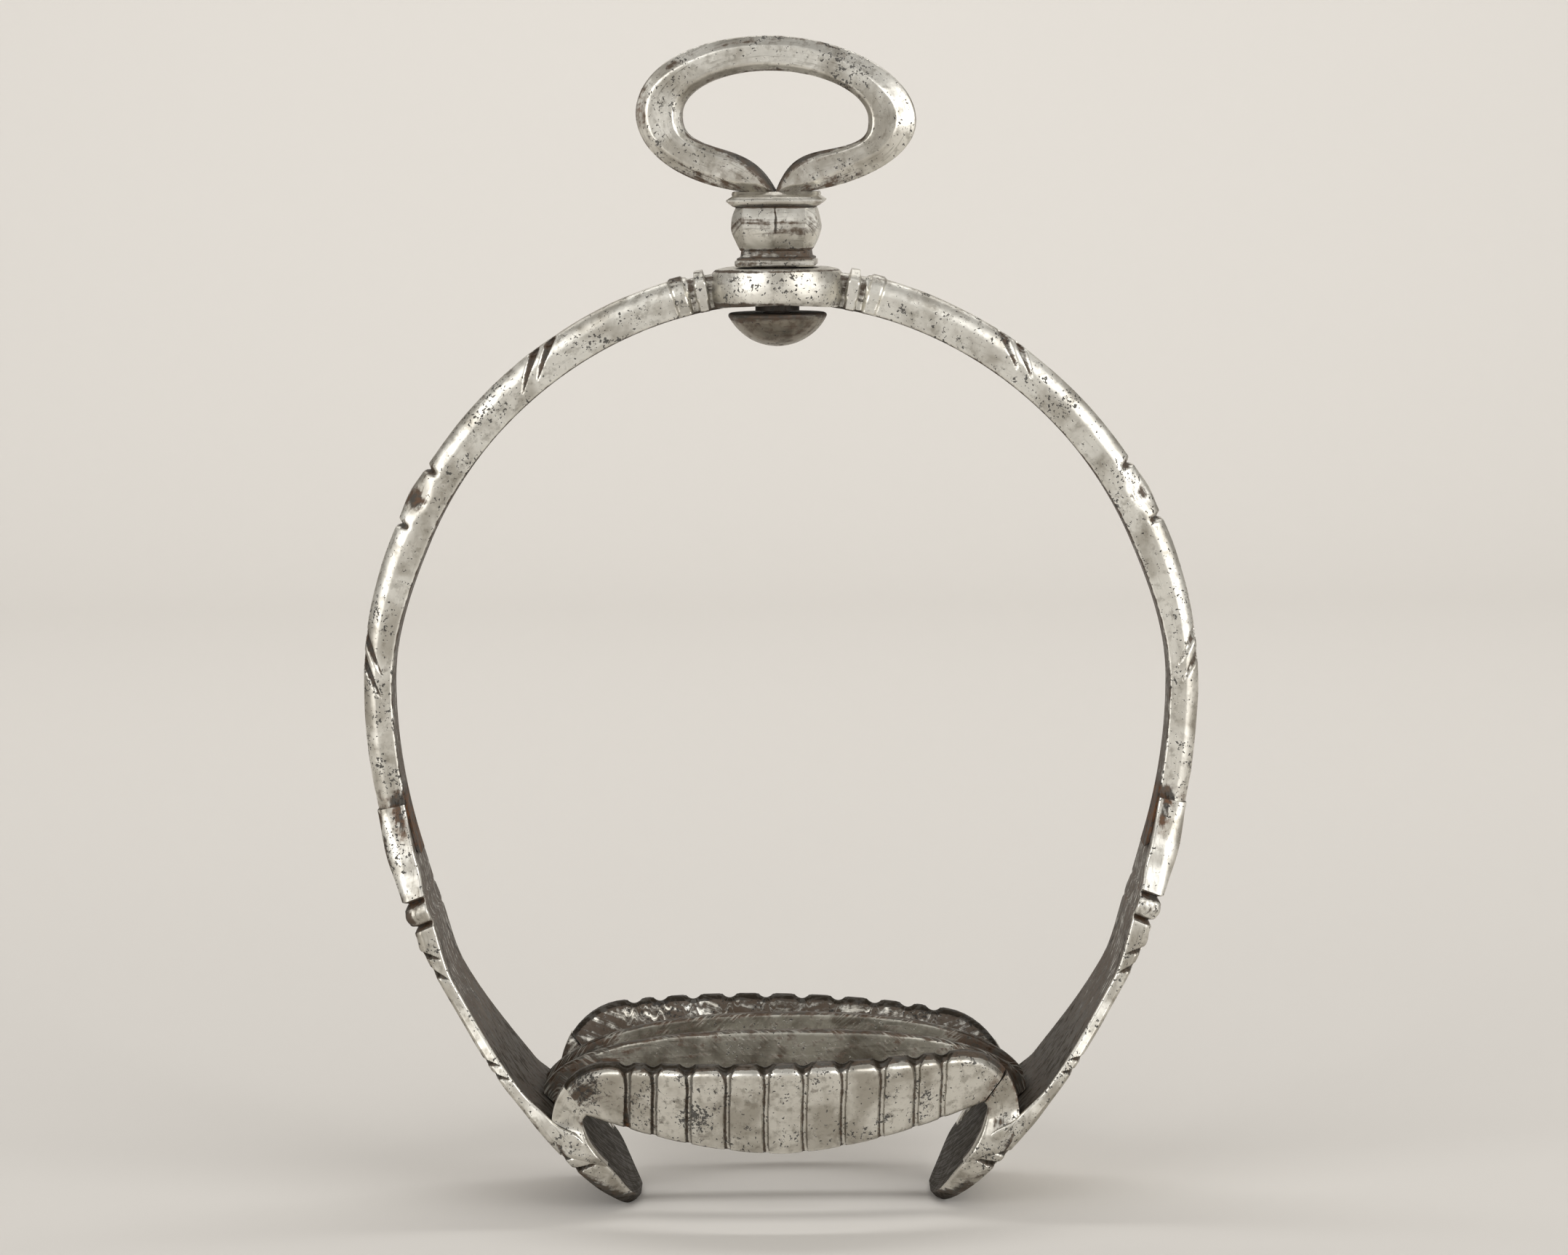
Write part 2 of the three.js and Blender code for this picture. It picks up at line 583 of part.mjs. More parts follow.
function railSolid(face) {
  const halfLength = WALL_END_X + RAIL_OVERREACH;
  const end = halfLength * 0.985;
  const rings = stations(-end, end, (2 * end) / RAIL_STEPS).map((x) => {
    const share = Math.abs(x) / WALL_END_X;
    const middle = RAIL_Y - RAIL_BOW * share ** 2;
    const base = WALL_END_Z - 2.2;
    const top = base + (RAIL_TOP_Z - base) * superellipse(x, halfLength, RAIL_SHOULDER_POWER);
    const foot = Math.min(RAIL_TOP_Z - RAIL_HEIGHT - RAIL_END_DROP * share ** 4, top - 1.2);
    const half = RAIL_THICK / 2;
    const ring = [
      [-half + RAIL_EDGE, top],
      [-half, top - RAIL_EDGE],
      [-half, foot],
      [half, foot],
      [half, top - RAIL_EDGE],
      [half - RAIL_EDGE, top],
    ];
    return ring.map(([y, z]) => new THREE.Vector3(x, face * middle + y, z));
  });
  return toSolid(loft(rings)).intersect(betweenPlates());
}

// Swivel, built up from the filed flat on the crown

const BASE_Z = CROWN_FLAT_Z + SEAM_GAP;
const WAIST_Z = BASE_Z + BASE_HEIGHT;
const BULB_Z = WAIST_Z + WAIST_HEIGHT;
const COLLAR_Z = BULB_Z + BULB_HEIGHT;
const NECK_TOP_Z = COLLAR_Z + COLLAR_HEIGHT;
const EYE_Z = NECK_TOP_Z + EYE_FALL; // height of the eye's widest point
const BUTTON_TOP_Z = BOSS_FOOT_Z - BUTTON_DROP;

// A rectangular section of the neck with its four corners cut off.
function neckRing(z, halfWidth, halfDepth, chamfer = NECK_CHAMFER) {
  const corners = [
    [halfWidth, -halfDepth + chamfer],
    [halfWidth, halfDepth - chamfer],
    [halfWidth - chamfer, halfDepth],
    [-halfWidth + chamfer, halfDepth],
    [-halfWidth, halfDepth - chamfer],
    [-halfWidth, -halfDepth + chamfer],
    [-halfWidth + chamfer, -halfDepth],
    [halfWidth - chamfer, -halfDepth],
  ];
  return corners.map(([x, y]) => new THREE.Vector3(x, y, z));
}

function neckSolid() {
  const bulb = [0, 0.1, 0.22, 0.38, 0.55, 0.72, 0.88, 1].map((share) => {
    const swell = Math.sin(Math.PI * (0.04 + 0.8 * share)) ** 0.9;
    const width = lerp(WAIST_HALF_WIDTH, BULB_HALF_WIDTH, swell);
    const depth = lerp(WAIST_HALF_DEPTH, BULB_HALF_DEPTH, swell);
    return neckRing(BULB_Z + share * BULB_HEIGHT, width, depth, NECK_CHAMFER * (0.8 + 0.6 * swell));
  });
  const small = NECK_CHAMFER * 0.45;
  return toSolid(loft([
    neckRing(BASE_Z, BASE_HALF_WIDTH, BASE_HALF_DEPTH, small),
    neckRing(WAIST_Z - 0.1, BASE_HALF_WIDTH, BASE_HALF_DEPTH, small),
    neckRing(WAIST_Z + 0.15, WAIST_HALF_WIDTH, WAIST_HALF_DEPTH, small),
    neckRing(BULB_Z - 0.3, WAIST_HALF_WIDTH, WAIST_HALF_DEPTH, small),
    ...bulb,
    neckRing(COLLAR_Z + 0.3, COLLAR_HALF_WIDTH - 0.8, COLLAR_HALF_DEPTH - 0.4, small),
    neckRing(COLLAR_Z + 0.9, COLLAR_HALF_WIDTH, COLLAR_HALF_DEPTH, small),
    neckRing(NECK_TOP_Z - 0.8, COLLAR_HALF_WIDTH - 0.2, COLLAR_HALF_DEPTH, small),
    neckRing(NECK_TOP_Z, NECK_TOP_HALF_WIDTH, EYE_HALF_DEPTH + 0.5, small),
    neckRing(NECK_TOP_Z + NECK_TOP_HEIGHT, NECK_TOP_HALF_WIDTH - 0.3, EYE_HALF_DEPTH + 0.2, small),
  ]));
}

// Moves a point of the eye down on the right and up on the left, and leaves the neck where it is.
function skewed(point) {
  const share = ease(point.y, NECK_TOP_Z, EYE_Z);
  return new THREE.Vector2(point.x, point.y - share * point.x * Math.tan(degToRad(EYE_SKEW_DEG)));
}

// Lower edge of the opening: a flattened curve that dips to a V where the two ends of the bar meet.
function openingFoot(x) {
  const curve = OPENING_FALL * superellipse(x, OPENING_HALF_WIDTH, OPENING_SQUARENESS);
  return EYE_Z - curve - SEAM_V_DEPTH * Math.exp(-Math.abs(x) / SEAM_V_WIDTH);
}

function eyeOutline(angle) {
  const [c, s] = [Math.cos(angle), Math.sin(angle)];
  const innerX = OPENING_HALF_WIDTH * c;
  return {
    outer: new THREE.Vector2(EYE_HALF_WIDTH * c, EYE_Z + (s > 0 ? EYE_RISE : EYE_FALL) * s),
    inner: new THREE.Vector2(innerX, s > 0 ? EYE_Z + OPENING_RISE * s : openingFoot(innerX)),
  };
}

// The bar of the eye, bent round from one side of the V to the other.
function eyeSolid() {
  const [first, last] = [degToRad(-87), degToRad(267)];
  const rings = Array.from({ length: EYE_STEPS + 1 }, (_, i) => {
    const { outer, inner } = eyeOutline(lerp(first, last, i / EYE_STEPS));
    const width = outer.distanceTo(inner);
    const out = outer.clone().sub(inner).divideScalar(width);
    const outerCut = Math.min(EYE_OUTER_CHAMFER, width * 0.3);
    const innerCut = Math.min(EYE_INNER_CHAMFER, width * 0.2);
    const profile = [
      [0, EYE_HALF_DEPTH - innerCut],
      [innerCut, EYE_HALF_DEPTH],
      [width - outerCut, EYE_HALF_DEPTH],
      [width, EYE_HALF_DEPTH - outerCut * 0.9],
    ];
    const ring = [...profile.map(([r, y]) => [r, -y]), ...profile.map(([r, y]) => [r, y]).reverse()];
    return ring.map(([r, y]) => {
      const at = skewed(inner.clone().addScaledVector(out, r));
      return new THREE.Vector3(at.x, y, at.y);
    });
  });
  return toSolid(loft(rings));
}

// The V between the two ends of the bar, cut right through.
function seamNotch() {
  const xs = stations(-2.4, 2.4, 0.4);
  const points = xs.map((x) => skewed(new THREE.Vector2(x, openingFoot(x))).toArray());
  const lid = EYE_Z - OPENING_FALL;
  return slabSolid([...points, [2.4, lid], [-2.4, lid]], 10);
}

function shankSolid() {
  const profile = [
    [0, BASE_Z + 2],
    [SHANK_DIA / 2, BASE_Z + 2],
    [SHANK_DIA / 2, BUTTON_TOP_Z + SEAM_GAP],
    [TENON_DIA / 2, BUTTON_TOP_Z + SEAM_GAP],
    [TENON_DIA / 2, BUTTON_TOP_Z - TENON_LENGTH],
    [0, BUTTON_TOP_Z - TENON_LENGTH],
  ];
  return latheSolid(profile, 32);
}

// A profile of radius and height, listed from the top down, turned about the swivel's axis.
function latheSolid(profile, segments) {
  const points = profile.map(([radius, z]) => new THREE.Vector2(radius, z)).reverse();
  return toSolid(new THREE.LatheGeometry(points, segments).rotateX(Math.PI / 2));
}

function swivelEyeSolid() {
  return neckSolid().add(eyeSolid()).subtract(seamNotch()).add(shankSolid());
}

// Domed button with a blind hole for the shank's tenon.
function buttonSolid() {
  const hole = [TENON_DIA / 2 + SEAM_GAP, BUTTON_TOP_Z - TENON_LENGTH - SEAM_GAP];
  const domeHeight = BUTTON_HEIGHT - BUTTON_RIM;
  const domeRadius = ((BUTTON_DIA / 2) ** 2 + domeHeight ** 2) / (2 * domeHeight);
  const rimTurn = Math.asin(BUTTON_DIA / 2 / domeRadius);
  const dome = Array.from({ length: 9 }, (_, i) => {
    const turn = rimTurn * (1 - i / 8);
    const radius = domeRadius * Math.sin(turn);
    return [radius, BUTTON_TOP_Z - BUTTON_HEIGHT + domeRadius * (1 - Math.cos(turn))];
  });
  const top = [hole[0], BUTTON_TOP_Z];
  const rim = [BUTTON_DIA / 2 - 0.3, BUTTON_TOP_Z];
  return latheSolid([[0, hole[1]], hole, top, rim, ...dome], 32);
}

// Assembly

function ironMesh(name, solid, color, roughness) {
  const material = new THREE.MeshStandardMaterial({ color, roughness, metalness: 0.95 });
  const mesh = new THREE.Mesh(toGeometry(solid), material);
  mesh.name = name;
  return mesh;
}

const SILVERED = 0xa9a49b;
const DULLED = 0x8f8b82;
const BLACKENED = 0x5f5850;

const stirrup = new THREE.Group();
stirrup.add(ironMesh('bow_arch', archSolid(), SILVERED, 0.38));
stirrup.add(ironMesh('cheek_left', cheekSolid(-1), SILVERED, 0.4));
stirrup.add(ironMesh('cheek_right', cheekSolid(1), SILVERED, 0.4));
stirrup.add(ironMesh('tread_front_wall', wallSolid(-1), SILVERED, 0.34));
stirrup.add(ironMesh('tread_back_wall', wallSolid(1), SILVERED, 0.34));
stirrup.add(ironMesh('tread_front_rail', railSolid(-1), DULLED, 0.45));
stirrup.add(ironMesh('tread_rear_rail', railSolid(1), DULLED, 0.45));

const swivel = new THREE.Group();
swivel.add(ironMesh('swivel_eye', swivelEyeSolid(), SILVERED, 0.36));
swivel.add(ironMesh('swivel_button', buttonSolid(), BLACKENED, 0.5));
swivel.rotation.z = degToRad(REST_TURN_DEG);
stirrup.add(swivel);

export default stirrup;
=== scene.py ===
"""Looks of the iron stirrup: dense surfaces for every forged piece, worn tinned-iron finishes and a
plain pale studio.

Lengths are worked out in millimetres and turned to metres when a mesh is made. X runs across the
stirrup, -Y is the front and +Z is up.
"""
import math

import bpy
import numpy as np
from mathutils import Matrix, Vector


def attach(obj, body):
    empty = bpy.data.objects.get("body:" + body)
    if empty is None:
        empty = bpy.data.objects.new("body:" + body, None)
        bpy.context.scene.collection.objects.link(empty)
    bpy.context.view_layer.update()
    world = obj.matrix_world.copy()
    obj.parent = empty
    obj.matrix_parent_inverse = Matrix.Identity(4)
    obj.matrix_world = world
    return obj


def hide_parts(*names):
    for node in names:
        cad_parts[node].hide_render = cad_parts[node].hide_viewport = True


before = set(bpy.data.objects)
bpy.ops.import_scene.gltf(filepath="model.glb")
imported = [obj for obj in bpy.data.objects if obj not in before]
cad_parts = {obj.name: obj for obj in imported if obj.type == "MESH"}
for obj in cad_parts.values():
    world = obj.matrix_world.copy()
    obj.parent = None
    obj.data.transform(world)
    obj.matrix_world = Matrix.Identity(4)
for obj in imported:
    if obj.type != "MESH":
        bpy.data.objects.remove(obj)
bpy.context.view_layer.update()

MM = 0.001
TAU = 2 * math.pi

# Sizes. Most are the solids' own. The boss, the collars and ridges, the bevels, the knop's notches, the
# rounding of the feet, the walls' lower edges and lobes, the horns and the neck's and eye's chamfers
# follow the photograph a little more closely here.

# Fits
SEAM_GAP = 0.3
SWIVEL_CLEARANCE = 0.3
REST_TURN = math.radians(-4)

# Bow
BOW_RADIUS = 69.6
BOW_FLATTENING = 0.6
BOW_CENTRE_Z = 87.0
# Corners of the cubic curve from the half circle down to the tip of the foot
LIMB_CURVE = np.array([(69.6, 87.0), (69.6, 63.4), (61.0, 31.7), (26.0, -0.8)])
ARC_LENGTH = BOW_RADIUS * math.pi / 2
BAR_THICK, BAR_THICK_SIDE = 6.3, 5.0
BAR_TAPER_START = math.radians(68) * BOW_RADIUS
BAR_HALF_DEPTH, BAR_HALF_DEPTH_GAIN = 3.6, 0.7
BAR_BEVEL_IN, BAR_BEVEL_BACK, ARRIS = 2.7, 2.0, 0.45
BOSS_RADIUS, CROWN_FLAT_CUT = 11.2, 0.45
CROWN_FLAT_Z = BOW_CENTRE_Z + BOW_RADIUS - CROWN_FLAT_CUT
BOSS_FOOT_Z = BOW_CENTRE_Z + BOW_RADIUS - BAR_THICK
COLLAR_AT, COLLAR_WIDTH = 13.1, 2.4
RIDGE_AT, RIDGE_WIDTH = 16.9, 2.8
KNOP_AT, KNOP_LENGTH, NOTCH_WIDTH = math.radians(62.1) * BOW_RADIUS, 10.4, 1.9
SCARF_LENGTH = 9.5
POCKET_HALF = 4.6
SHOULDER_Z = 67.0
BEAD_Z, BEAD_WIDTH, BEAD_GROOVE = 49.4, 2.6, 1.5
# Side plate: (height on the outer line, thickness, half depth)
PLATE_KEYS = np.array([
    (67.0, 4.7, 4.9), (57.0, 4.4, 8.4), (49.4, 3.7, 11.2), (37.0, 2.1, 11.6), (19.5, 2.0, 16.0),
    (14.6, 2.85, 17.0), (10.5, 4.5, 17.6), (5.5, 4.2, 17.6), (-0.8, 2.4, 17.6),
])
# The foot below this height is rounded off, down to a share of its half depth at the very tip
TONGUE_START_Z, TONGUE_HALF_DEPTH, TONGUE_POWER, TONGUE_END = 12.5, 17.2, 2.2, 0.22

# Tread
TREAD_TOP_Z, TREAD_TOP_SAG = 28.4, 0.4
TREAD_HALF_DEPTH, TREAD_END_HALF_DEPTH = 31.0, 16.6
WALL_SHOULDER_X, WALL_END_X, WALL_END_Z = 28.0, 38.7, 16.2
WALL_LEAN = math.tan(math.radians(17))
WALL_THICK_TOP, WALL_THICK_FOOT = 3.2, 2.5
BELLY_Z, BELLY_RISE = 12.75, 5.65
WALL_TILT = {-1: math.tan(math.radians(1.4)), 1: math.tan(math.radians(-2))}
INNER_CORNER_X = 32.7
SEAM_TURN, HORN_TURN = math.radians(52), math.radians(86)
PLAN_SAG = TREAD_HALF_DEPTH - TREAD_END_HALF_DEPTH
PLAN_RADIUS = (WALL_END_X ** 2 + PLAN_SAG ** 2) / (2 * PLAN_SAG)
LOBE_WIDTH, LOBE_TAPER, LOBE_CROWN = 6.3, 0.62, 0.3
RAIL_Y, RAIL_BOW, RAIL_THICK, RAIL_TOP_Z, RAIL_HEIGHT = 7.4, 3.4, 2.2, 29.5, 9.0

# Swivel: heights of the neck's base plate, waist, bulb and collar, from the crown's flat upwards
SHANK_RADIUS = 3.65
BASE_HEIGHT, WAIST_HEIGHT, BULB_HEIGHT, COLLAR_HEIGHT = 1.5, 1.3, 6.9, 2.2
BASE_Z = CROWN_FLAT_Z + SEAM_GAP
WAIST_Z = BASE_Z + BASE_HEIGHT
BULB_Z = WAIST_Z + WAIST_HEIGHT
COLLAR_Z = BULB_Z + BULB_HEIGHT
NECK_TOP_Z = COLLAR_Z + COLLAR_HEIGHT
EYE_HALF_WIDTH, EYE_RISE, EYE_FALL, EYE_HALF_DEPTH = 23.0, 13.4, 12.5, 2.9
EYE_Z = NECK_TOP_Z + EYE_FALL
OPENING_HALF_WIDTH, OPENING_RISE, OPENING_FALL = 15.4, 7.6, 5.2
EYE_SKEW = math.tan(math.radians(2.1))
BUTTON_RADIUS, BUTTON_HEIGHT, BUTTON_RIM, BUTTON_DROP = 8.2, 5.6, 0.5, 1.5
BUTTON_TOP_Z = BOSS_FOOT_Z - BUTTON_DROP
TENON_RADIUS, TENON_LENGTH = 2.1, 2.9


# Shaping functions on whole arrays

def ease(x, low, high):
    """0 at low and 1 at high, with level ends: 3t^2 - 2t^3."""
    t = np.clip((x - low) / (high - low), 0, 1)
    return t * t * (3 - 2 * t)


def hump(x, middle, width):
    """One raised cosine, 1 in the middle and 0 from half the width outwards."""
    t = np.clip(np.abs(x - middle) / (width / 2), 0, 1)
    return (1 + np.cos(math.pi * t)) / 2


def band(x, middle, width, ramp):
    """1 inside a band and 0 outside it, with a soft ramp at each side."""
    return 1 - ease(np.abs(x - middle), width / 2 - ramp, width / 2)


def wander(x, wavelength, seed):
    """Hand-forged unevenness between -1 and 1: three sines of unrelated lengths and phases."""
    waves = [np.sin(TAU * x / (wavelength * k) + seed * 1.7 * k) for k in (1.0, 0.61, 0.37)]
    return (waves[0] + 0.6 * waves[1] + 0.4 * waves[2]) / 2


def superellipse(x, half, power):
    """Height of a superellipse at x: (1 - |x/half|^power)^(1/power)."""
    return (1 - np.clip(np.abs(x) / half, 0, 1) ** power) ** (1 / power)


def through(t, *keys):
    """A smooth curve through keys of (parameter, values...): cubic pieces whose slope at each key is
    the mean slope of its two neighbours."""
    keys = np.array(keys, float)
    at, values = keys[:, 0], keys[:, 1:]
    slope = np.gradient(values, at, axis=0)
    i = np.clip(np.searchsorted(at, t, side="right") - 1, 0, len(at) - 2)
    width = (at[i + 1] - at[i])[..., None]
    u = np.clip((t - at[i]) / (at[i + 1] - at[i]), 0, 1)[..., None]
    start, end = values[i], values[i + 1]
    bend = u * (1 - u) ** 2 * slope[i] * width - u * u * (1 - u) * slope[i + 1] * width
    return start + (end - start) * u * u * (3 - 2 * u) + bend


def limb_table():
    """The lower limb's outer line by arc length: distance, place and the direction out of the bow."""
    t = np.linspace(0, 1, 2001)[:, None]
    a, b, c, d = LIMB_CURVE
    point = (1 - t) ** 3 * a + 3 * (1 - t) ** 2 * t * b + 3 * (1 - t) * t ** 2 * c + t ** 3 * d
    slope = 3 * (1 - t) ** 2 * (b - a) + 6 * (1 - t) * t * (c - b) + 3 * t ** 2 * (d - c)
    slope /= np.linalg.norm(slope, axis=1, keepdims=True)
    steps = np.linalg.norm(np.diff(point, axis=0), axis=1)
    return np.concatenate([[0], np.cumsum(steps)]), point, np.stack([-slope[:, 1], slope[:, 0]], axis=1)


LIMB_S, LIMB_POINT, LIMB_OUT = limb_table()
TIP_AT = ARC_LENGTH + LIMB_S[-1]


def outer_line(s):
    """Place and outward direction of the bow's outer line at distance s from the crown: a half circle
    with slightly flattened haunches, and then the lower limb's curve."""
    angle = s / BOW_RADIUS
    out_arc = np.stack([np.sin(angle), np.cos(angle)], axis=-1)
    arc = out_arc * (BOW_RADIUS - BOW_FLATTENING * np.sin(2 * angle) ** 2)[..., None] + (0, BOW_CENTRE_Z)
    below = np.clip(s - ARC_LENGTH, 0, LIMB_S[-1])
    limb = np.stack([np.interp(below, LIMB_S, LIMB_POINT[:, i]) for i in (0, 1)], axis=-1)
    out_limb = np.stack([np.interp(below, LIMB_S, LIMB_OUT[:, i]) for i in (0, 1)], axis=-1)
    on_arc = (s <= ARC_LENGTH)[..., None]
    return np.where(on_arc, arc, limb), np.where(on_arc, out_arc, out_limb)


def at_height(z):
    """Distance from the crown at which the lower limb's outer line is at height z."""
    return ARC_LENGTH + np.interp(-np.asarray(z, float), -LIMB_POINT[:, 1], LIMB_S)


SHOULDER_AT, BEAD_AT = at_height(SHOULDER_Z), at_height(BEAD_Z)


def fine(start, stop, step, fine_step, *details):
    """Distances from start to stop, with the finer step inside each (from, to)."""
    parts = [np.arange(start, stop, step), [stop]]
    parts += [np.arange(max(start, a), min(stop, b), fine_step) for a, b in details]
    values = np.unique(np.round(np.concatenate(parts), 3))
    return values[np.concatenate([[True], np.diff(values) > fine_step * 0.4])]


# Meshes

# The third mark holds dirt and painted shade, the fifth wear and painted highlights
MARKS = ("along", "around", "grime_and_shade", "copper", "wear_and_highlight")
SHARP_EDGE = math.radians(38)


def shell(points, along, around, grime_and_shade, copper, wear_and_highlight, closed=False):
    """A grid of points, closed round its columns, as vertices, quads and triangles. Each end is a fan
    round its middle, or the last row joins the first where the whole shape is a ring. Its marks are
    the distances along and round the bar and, from 0 to 1, dirt and painted shade, braze or rust,
    and wear and painted highlights."""
    rows, columns, _ = points.shape
    marks = dict(zip(MARKS, (along, around, *(np.clip(mark, 0, 1) for mark in (grime_and_shade, copper, wear_and_highlight)))))
    index = np.arange(rows * columns).reshape(rows, columns)
    above = index if closed else index[:-1]
    below = np.roll(index, -1, axis=0) if closed else index[1:]
    quads = np.stack([above, below, np.roll(below, -1, axis=1), np.roll(above, -1, axis=1)], axis=-1)
    quads = quads.reshape(-1, 4)
    vertices = points.reshape(-1, 3)
    values = {name: np.broadcast_to(mark, (rows, columns)).reshape(-1) for name, mark in marks.items()}
    triangles = np.zeros((0, 3), int)
    if not closed:
        first = len(vertices)
        vertices = np.concatenate([vertices, points[[0, -1]].mean(axis=1)])
        near = np.stack([np.full(columns, first), np.roll(index[0], -1), index[0]], axis=1)
        far = np.stack([np.full(columns, first + 1), index[-1], np.roll(index[-1], -1)], axis=1)
        triangles = np.concatenate([near, far])
        values = {name: np.concatenate([mark, [mark[:columns].mean(), mark[-columns:].mean()]])
                  for name, mark in values.items()}
    corners = np.concatenate([quads[:, [0, 1, 2]], quads[:, [0, 2, 3]], triangles])
    a, b, c = (vertices[corners[:, i]] for i in range(3))
    if np.einsum("ij,ij->i", a, np.cross(b, c)).sum() < 0:
        quads, triangles = quads[:, ::-1], triangles[:, ::-1]
    return vertices, quads, triangles, values


def make_piece(name, node, shells, body, material, turn=0.0):
    """One object from closed shells, standing for a CAD node, smooth shaded but for its sharp edges,
    and its marks kept as point attributes. A turn is about the swivel's axis."""
    starts = np.cumsum([0] + [len(part[0]) for part in shells])
    points = np.concatenate([part[0] for part in shells]) * MM
    faces = np.concatenate([part[1] + start for part, start in zip(shells, starts)]).tolist()
    faces += np.concatenate([part[2] + start for part, start in zip(shells, starts)]).tolist()
    if turn:
        c, s = math.cos(turn), math.sin(turn)
        points = points @ np.array([(c, s, 0), (-s, c, 0), (0, 0, 1)])
    mesh = bpy.data.meshes.new(name + "_shape")
    mesh.from_pydata(points.tolist(), [], faces)
    for name_of_mark in MARKS:
        mark = mesh.attributes.new(name_of_mark, "FLOAT", "POINT")
        values = np.concatenate([part[3][name_of_mark] for part in shells])
        mark.data.foreach_set("value", values.astype(np.float32))
    mesh.shade_smooth()
    mesh.set_sharp_from_angle(angle=SHARP_EDGE)
    mesh.materials.append(material)
    piece = bpy.data.objects.new(name, mesh)
    bpy.context.scene.collection.objects.link(piece)
    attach(piece, body)
    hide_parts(node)


def resample(control, count, passes=1):
    """Closed outlines through control points (rows, points, values), each divided evenly along its
    length into count points, with the corners eased by averaging neighbours."""
    loop = np.concatenate([control, control[:, :1]], axis=1)
    lengths = np.linalg.norm(np.diff(loop, axis=1), axis=2).mean(axis=0)
    at = np.concatenate([[0], np.cumsum(lengths)])
    wanted = np.linspace(0, at[-1], count, endpoint=False)
    left = np.clip(np.searchsorted(at, wanted, side="right") - 1, 0, control.shape[1] - 1)
    share = ((wanted - at[left]) / lengths[left])[None, :, None]
    points = loop[:, left] * (1 - share) + loop[:, left + 1] * share
    for _ in range(passes):
        points = (np.roll(points, 1, axis=1) + 2 * points + np.roll(points, -1, axis=1)) / 4
    return points


def round_length(points):
    """Distance round each row of a closed grid, from its first column."""
    steps = np.linalg.norm(np.diff(points, axis=1, prepend=points[:, :1]), axis=-1)
    return np.cumsum(steps, axis=1)


# Bow: a section carried along the outer line

BEVEL_POWER = 1.6  # of the superellipse that rounds the outer bevels


def bow_section(half, thick, bevel_in, bevel_back, arris, counts):
    """Depth y and distance in from the outer line round one section. From the middle of the outer
    face: flat, a soft bevel (a superellipse), the flat front, a quarter circle for the arris, and the
    inner face. The back mirrors the front."""
    sizes = (half, thick, bevel_in, bevel_back)
    half, thick, bevel_in, bevel_back = (np.asarray(size, float)[:, None] for size in sizes)
    flat, bevel, front, corner, inner = counts
    u = np.linspace(0, 1, flat, endpoint=False)
    a = np.linspace(0, math.pi / 2, bevel, endpoint=False)
    v = np.linspace(0, 1, front, endpoint=False)
    b = np.linspace(0, math.pi / 2, corner, endpoint=False)
    w = np.linspace(0, 1, inner)
    bend = 2 / BEVEL_POWER
    y = np.concatenate([
        -(half - bevel_back) * u,
        -(half - bevel_back) - bevel_back * np.sin(a) ** bend,
        -half + 0 * v,
        -(half - arris) - arris * np.cos(b),
        -(half - arris) * (1 - w),
    ], axis=1)
    inwards = np.concatenate([
        0 * half * u,
        bevel_in * (1 - np.cos(a) ** bend),
        bevel_in + (thick - arris - bevel_in) * v,
        thick - arris + arris * np.sin(b),
        thick + 0 * w,
    ], axis=1)
    return (np.concatenate([y, -y[:, -2:0:-1]], axis=1),
            np.concatenate([inwards, inwards[:, -2:0:-1]], axis=1))


def bow_points(s, y, inwards, side):
    """Places a section: the outer line at s, less the distance inwards, and y through the depth. The
    feet are filed flat at the ground."""
    point, out = outer_line(np.broadcast_to(s, y.shape))
    flat = point - out * inwards[..., None]
    return np.stack([side * flat[..., 0], y, np.maximum(flat[..., 1], 0)], axis=-1)


# File nicks on the arch: (start along, start in, end along, end in) on the left and on the right
ARCH_NICKS = {
    -1: [(39.1, -0.6, 46.2, 4.4), (42.4, -0.6, 49.8, 4.5),
         (98.9, -0.9, 107.0, 3.3), (102.6, -0.9, 111.0, 3.1)],
    1: [(38.8, -0.6, 45.4, 3.7), (42.4, -0.6, 48.3, 3.4),
        (99.9, -0.7, 106.4, 3.4), (103.6, -0.9, 109.2, 2.8)],
}
# On the side plates' front edges: (height at the start, height at the end, width)
PLATE_NICKS = {
    -1: [(44.0, 41.6, 1.1), (41.2, 38.2, 1.3), (26.6, 24.3, 1.0), (24.4, 22.1, 1.0),
         (10.4, 8.6, 1.2), (8.2, 6.6, 1.0)],
    1: [(43.6, 41.4, 1.1), (40.8, 38.4, 1.3), (26.0, 24.6, 1.0), (24.0, 22.5, 1.0),
        (10.3, 8.8, 1.4), (8.4, 6.8, 1.4)],
}
NICK_WIDTH, NICK_DEPTH = 1.6, 0.62
NICK_OVERSHOOT = -0.7  # a plate's nicks start this far outside the outer line


def file_nick(s, v, start, end, width, depth):
    """A cut made with the corner of a file along the line from start to end in (distance along,
    distance in from the outer line): wide and deep where it starts, and running out to a point."""
    start, end = np.array(start, float), np.array(end, float)
    along = end - start
    length = np.linalg.norm(along)
    along /= length
    t = ((s - start[0]) * along[0] + (v - start[1]) * along[1]) / length
    off = np.abs((s - start[0]) * along[1] - (v - start[1]) * along[0])
    taper = np.sqrt(np.clip(1 - t, 0, 1)) * ease(t, -0.12, 0.1)
    reach = np.clip(1 - off / (width / 2 * np.maximum(taper, 0.05)), 0, 1)
    return depth * taper * np.minimum(1, 1.6 * reach)


def stained(cut):
    """How dark a nick is: 3.2 times its depth in millimetres, and no more than 1."""
    return np.minimum(1, 3.2 * cut)
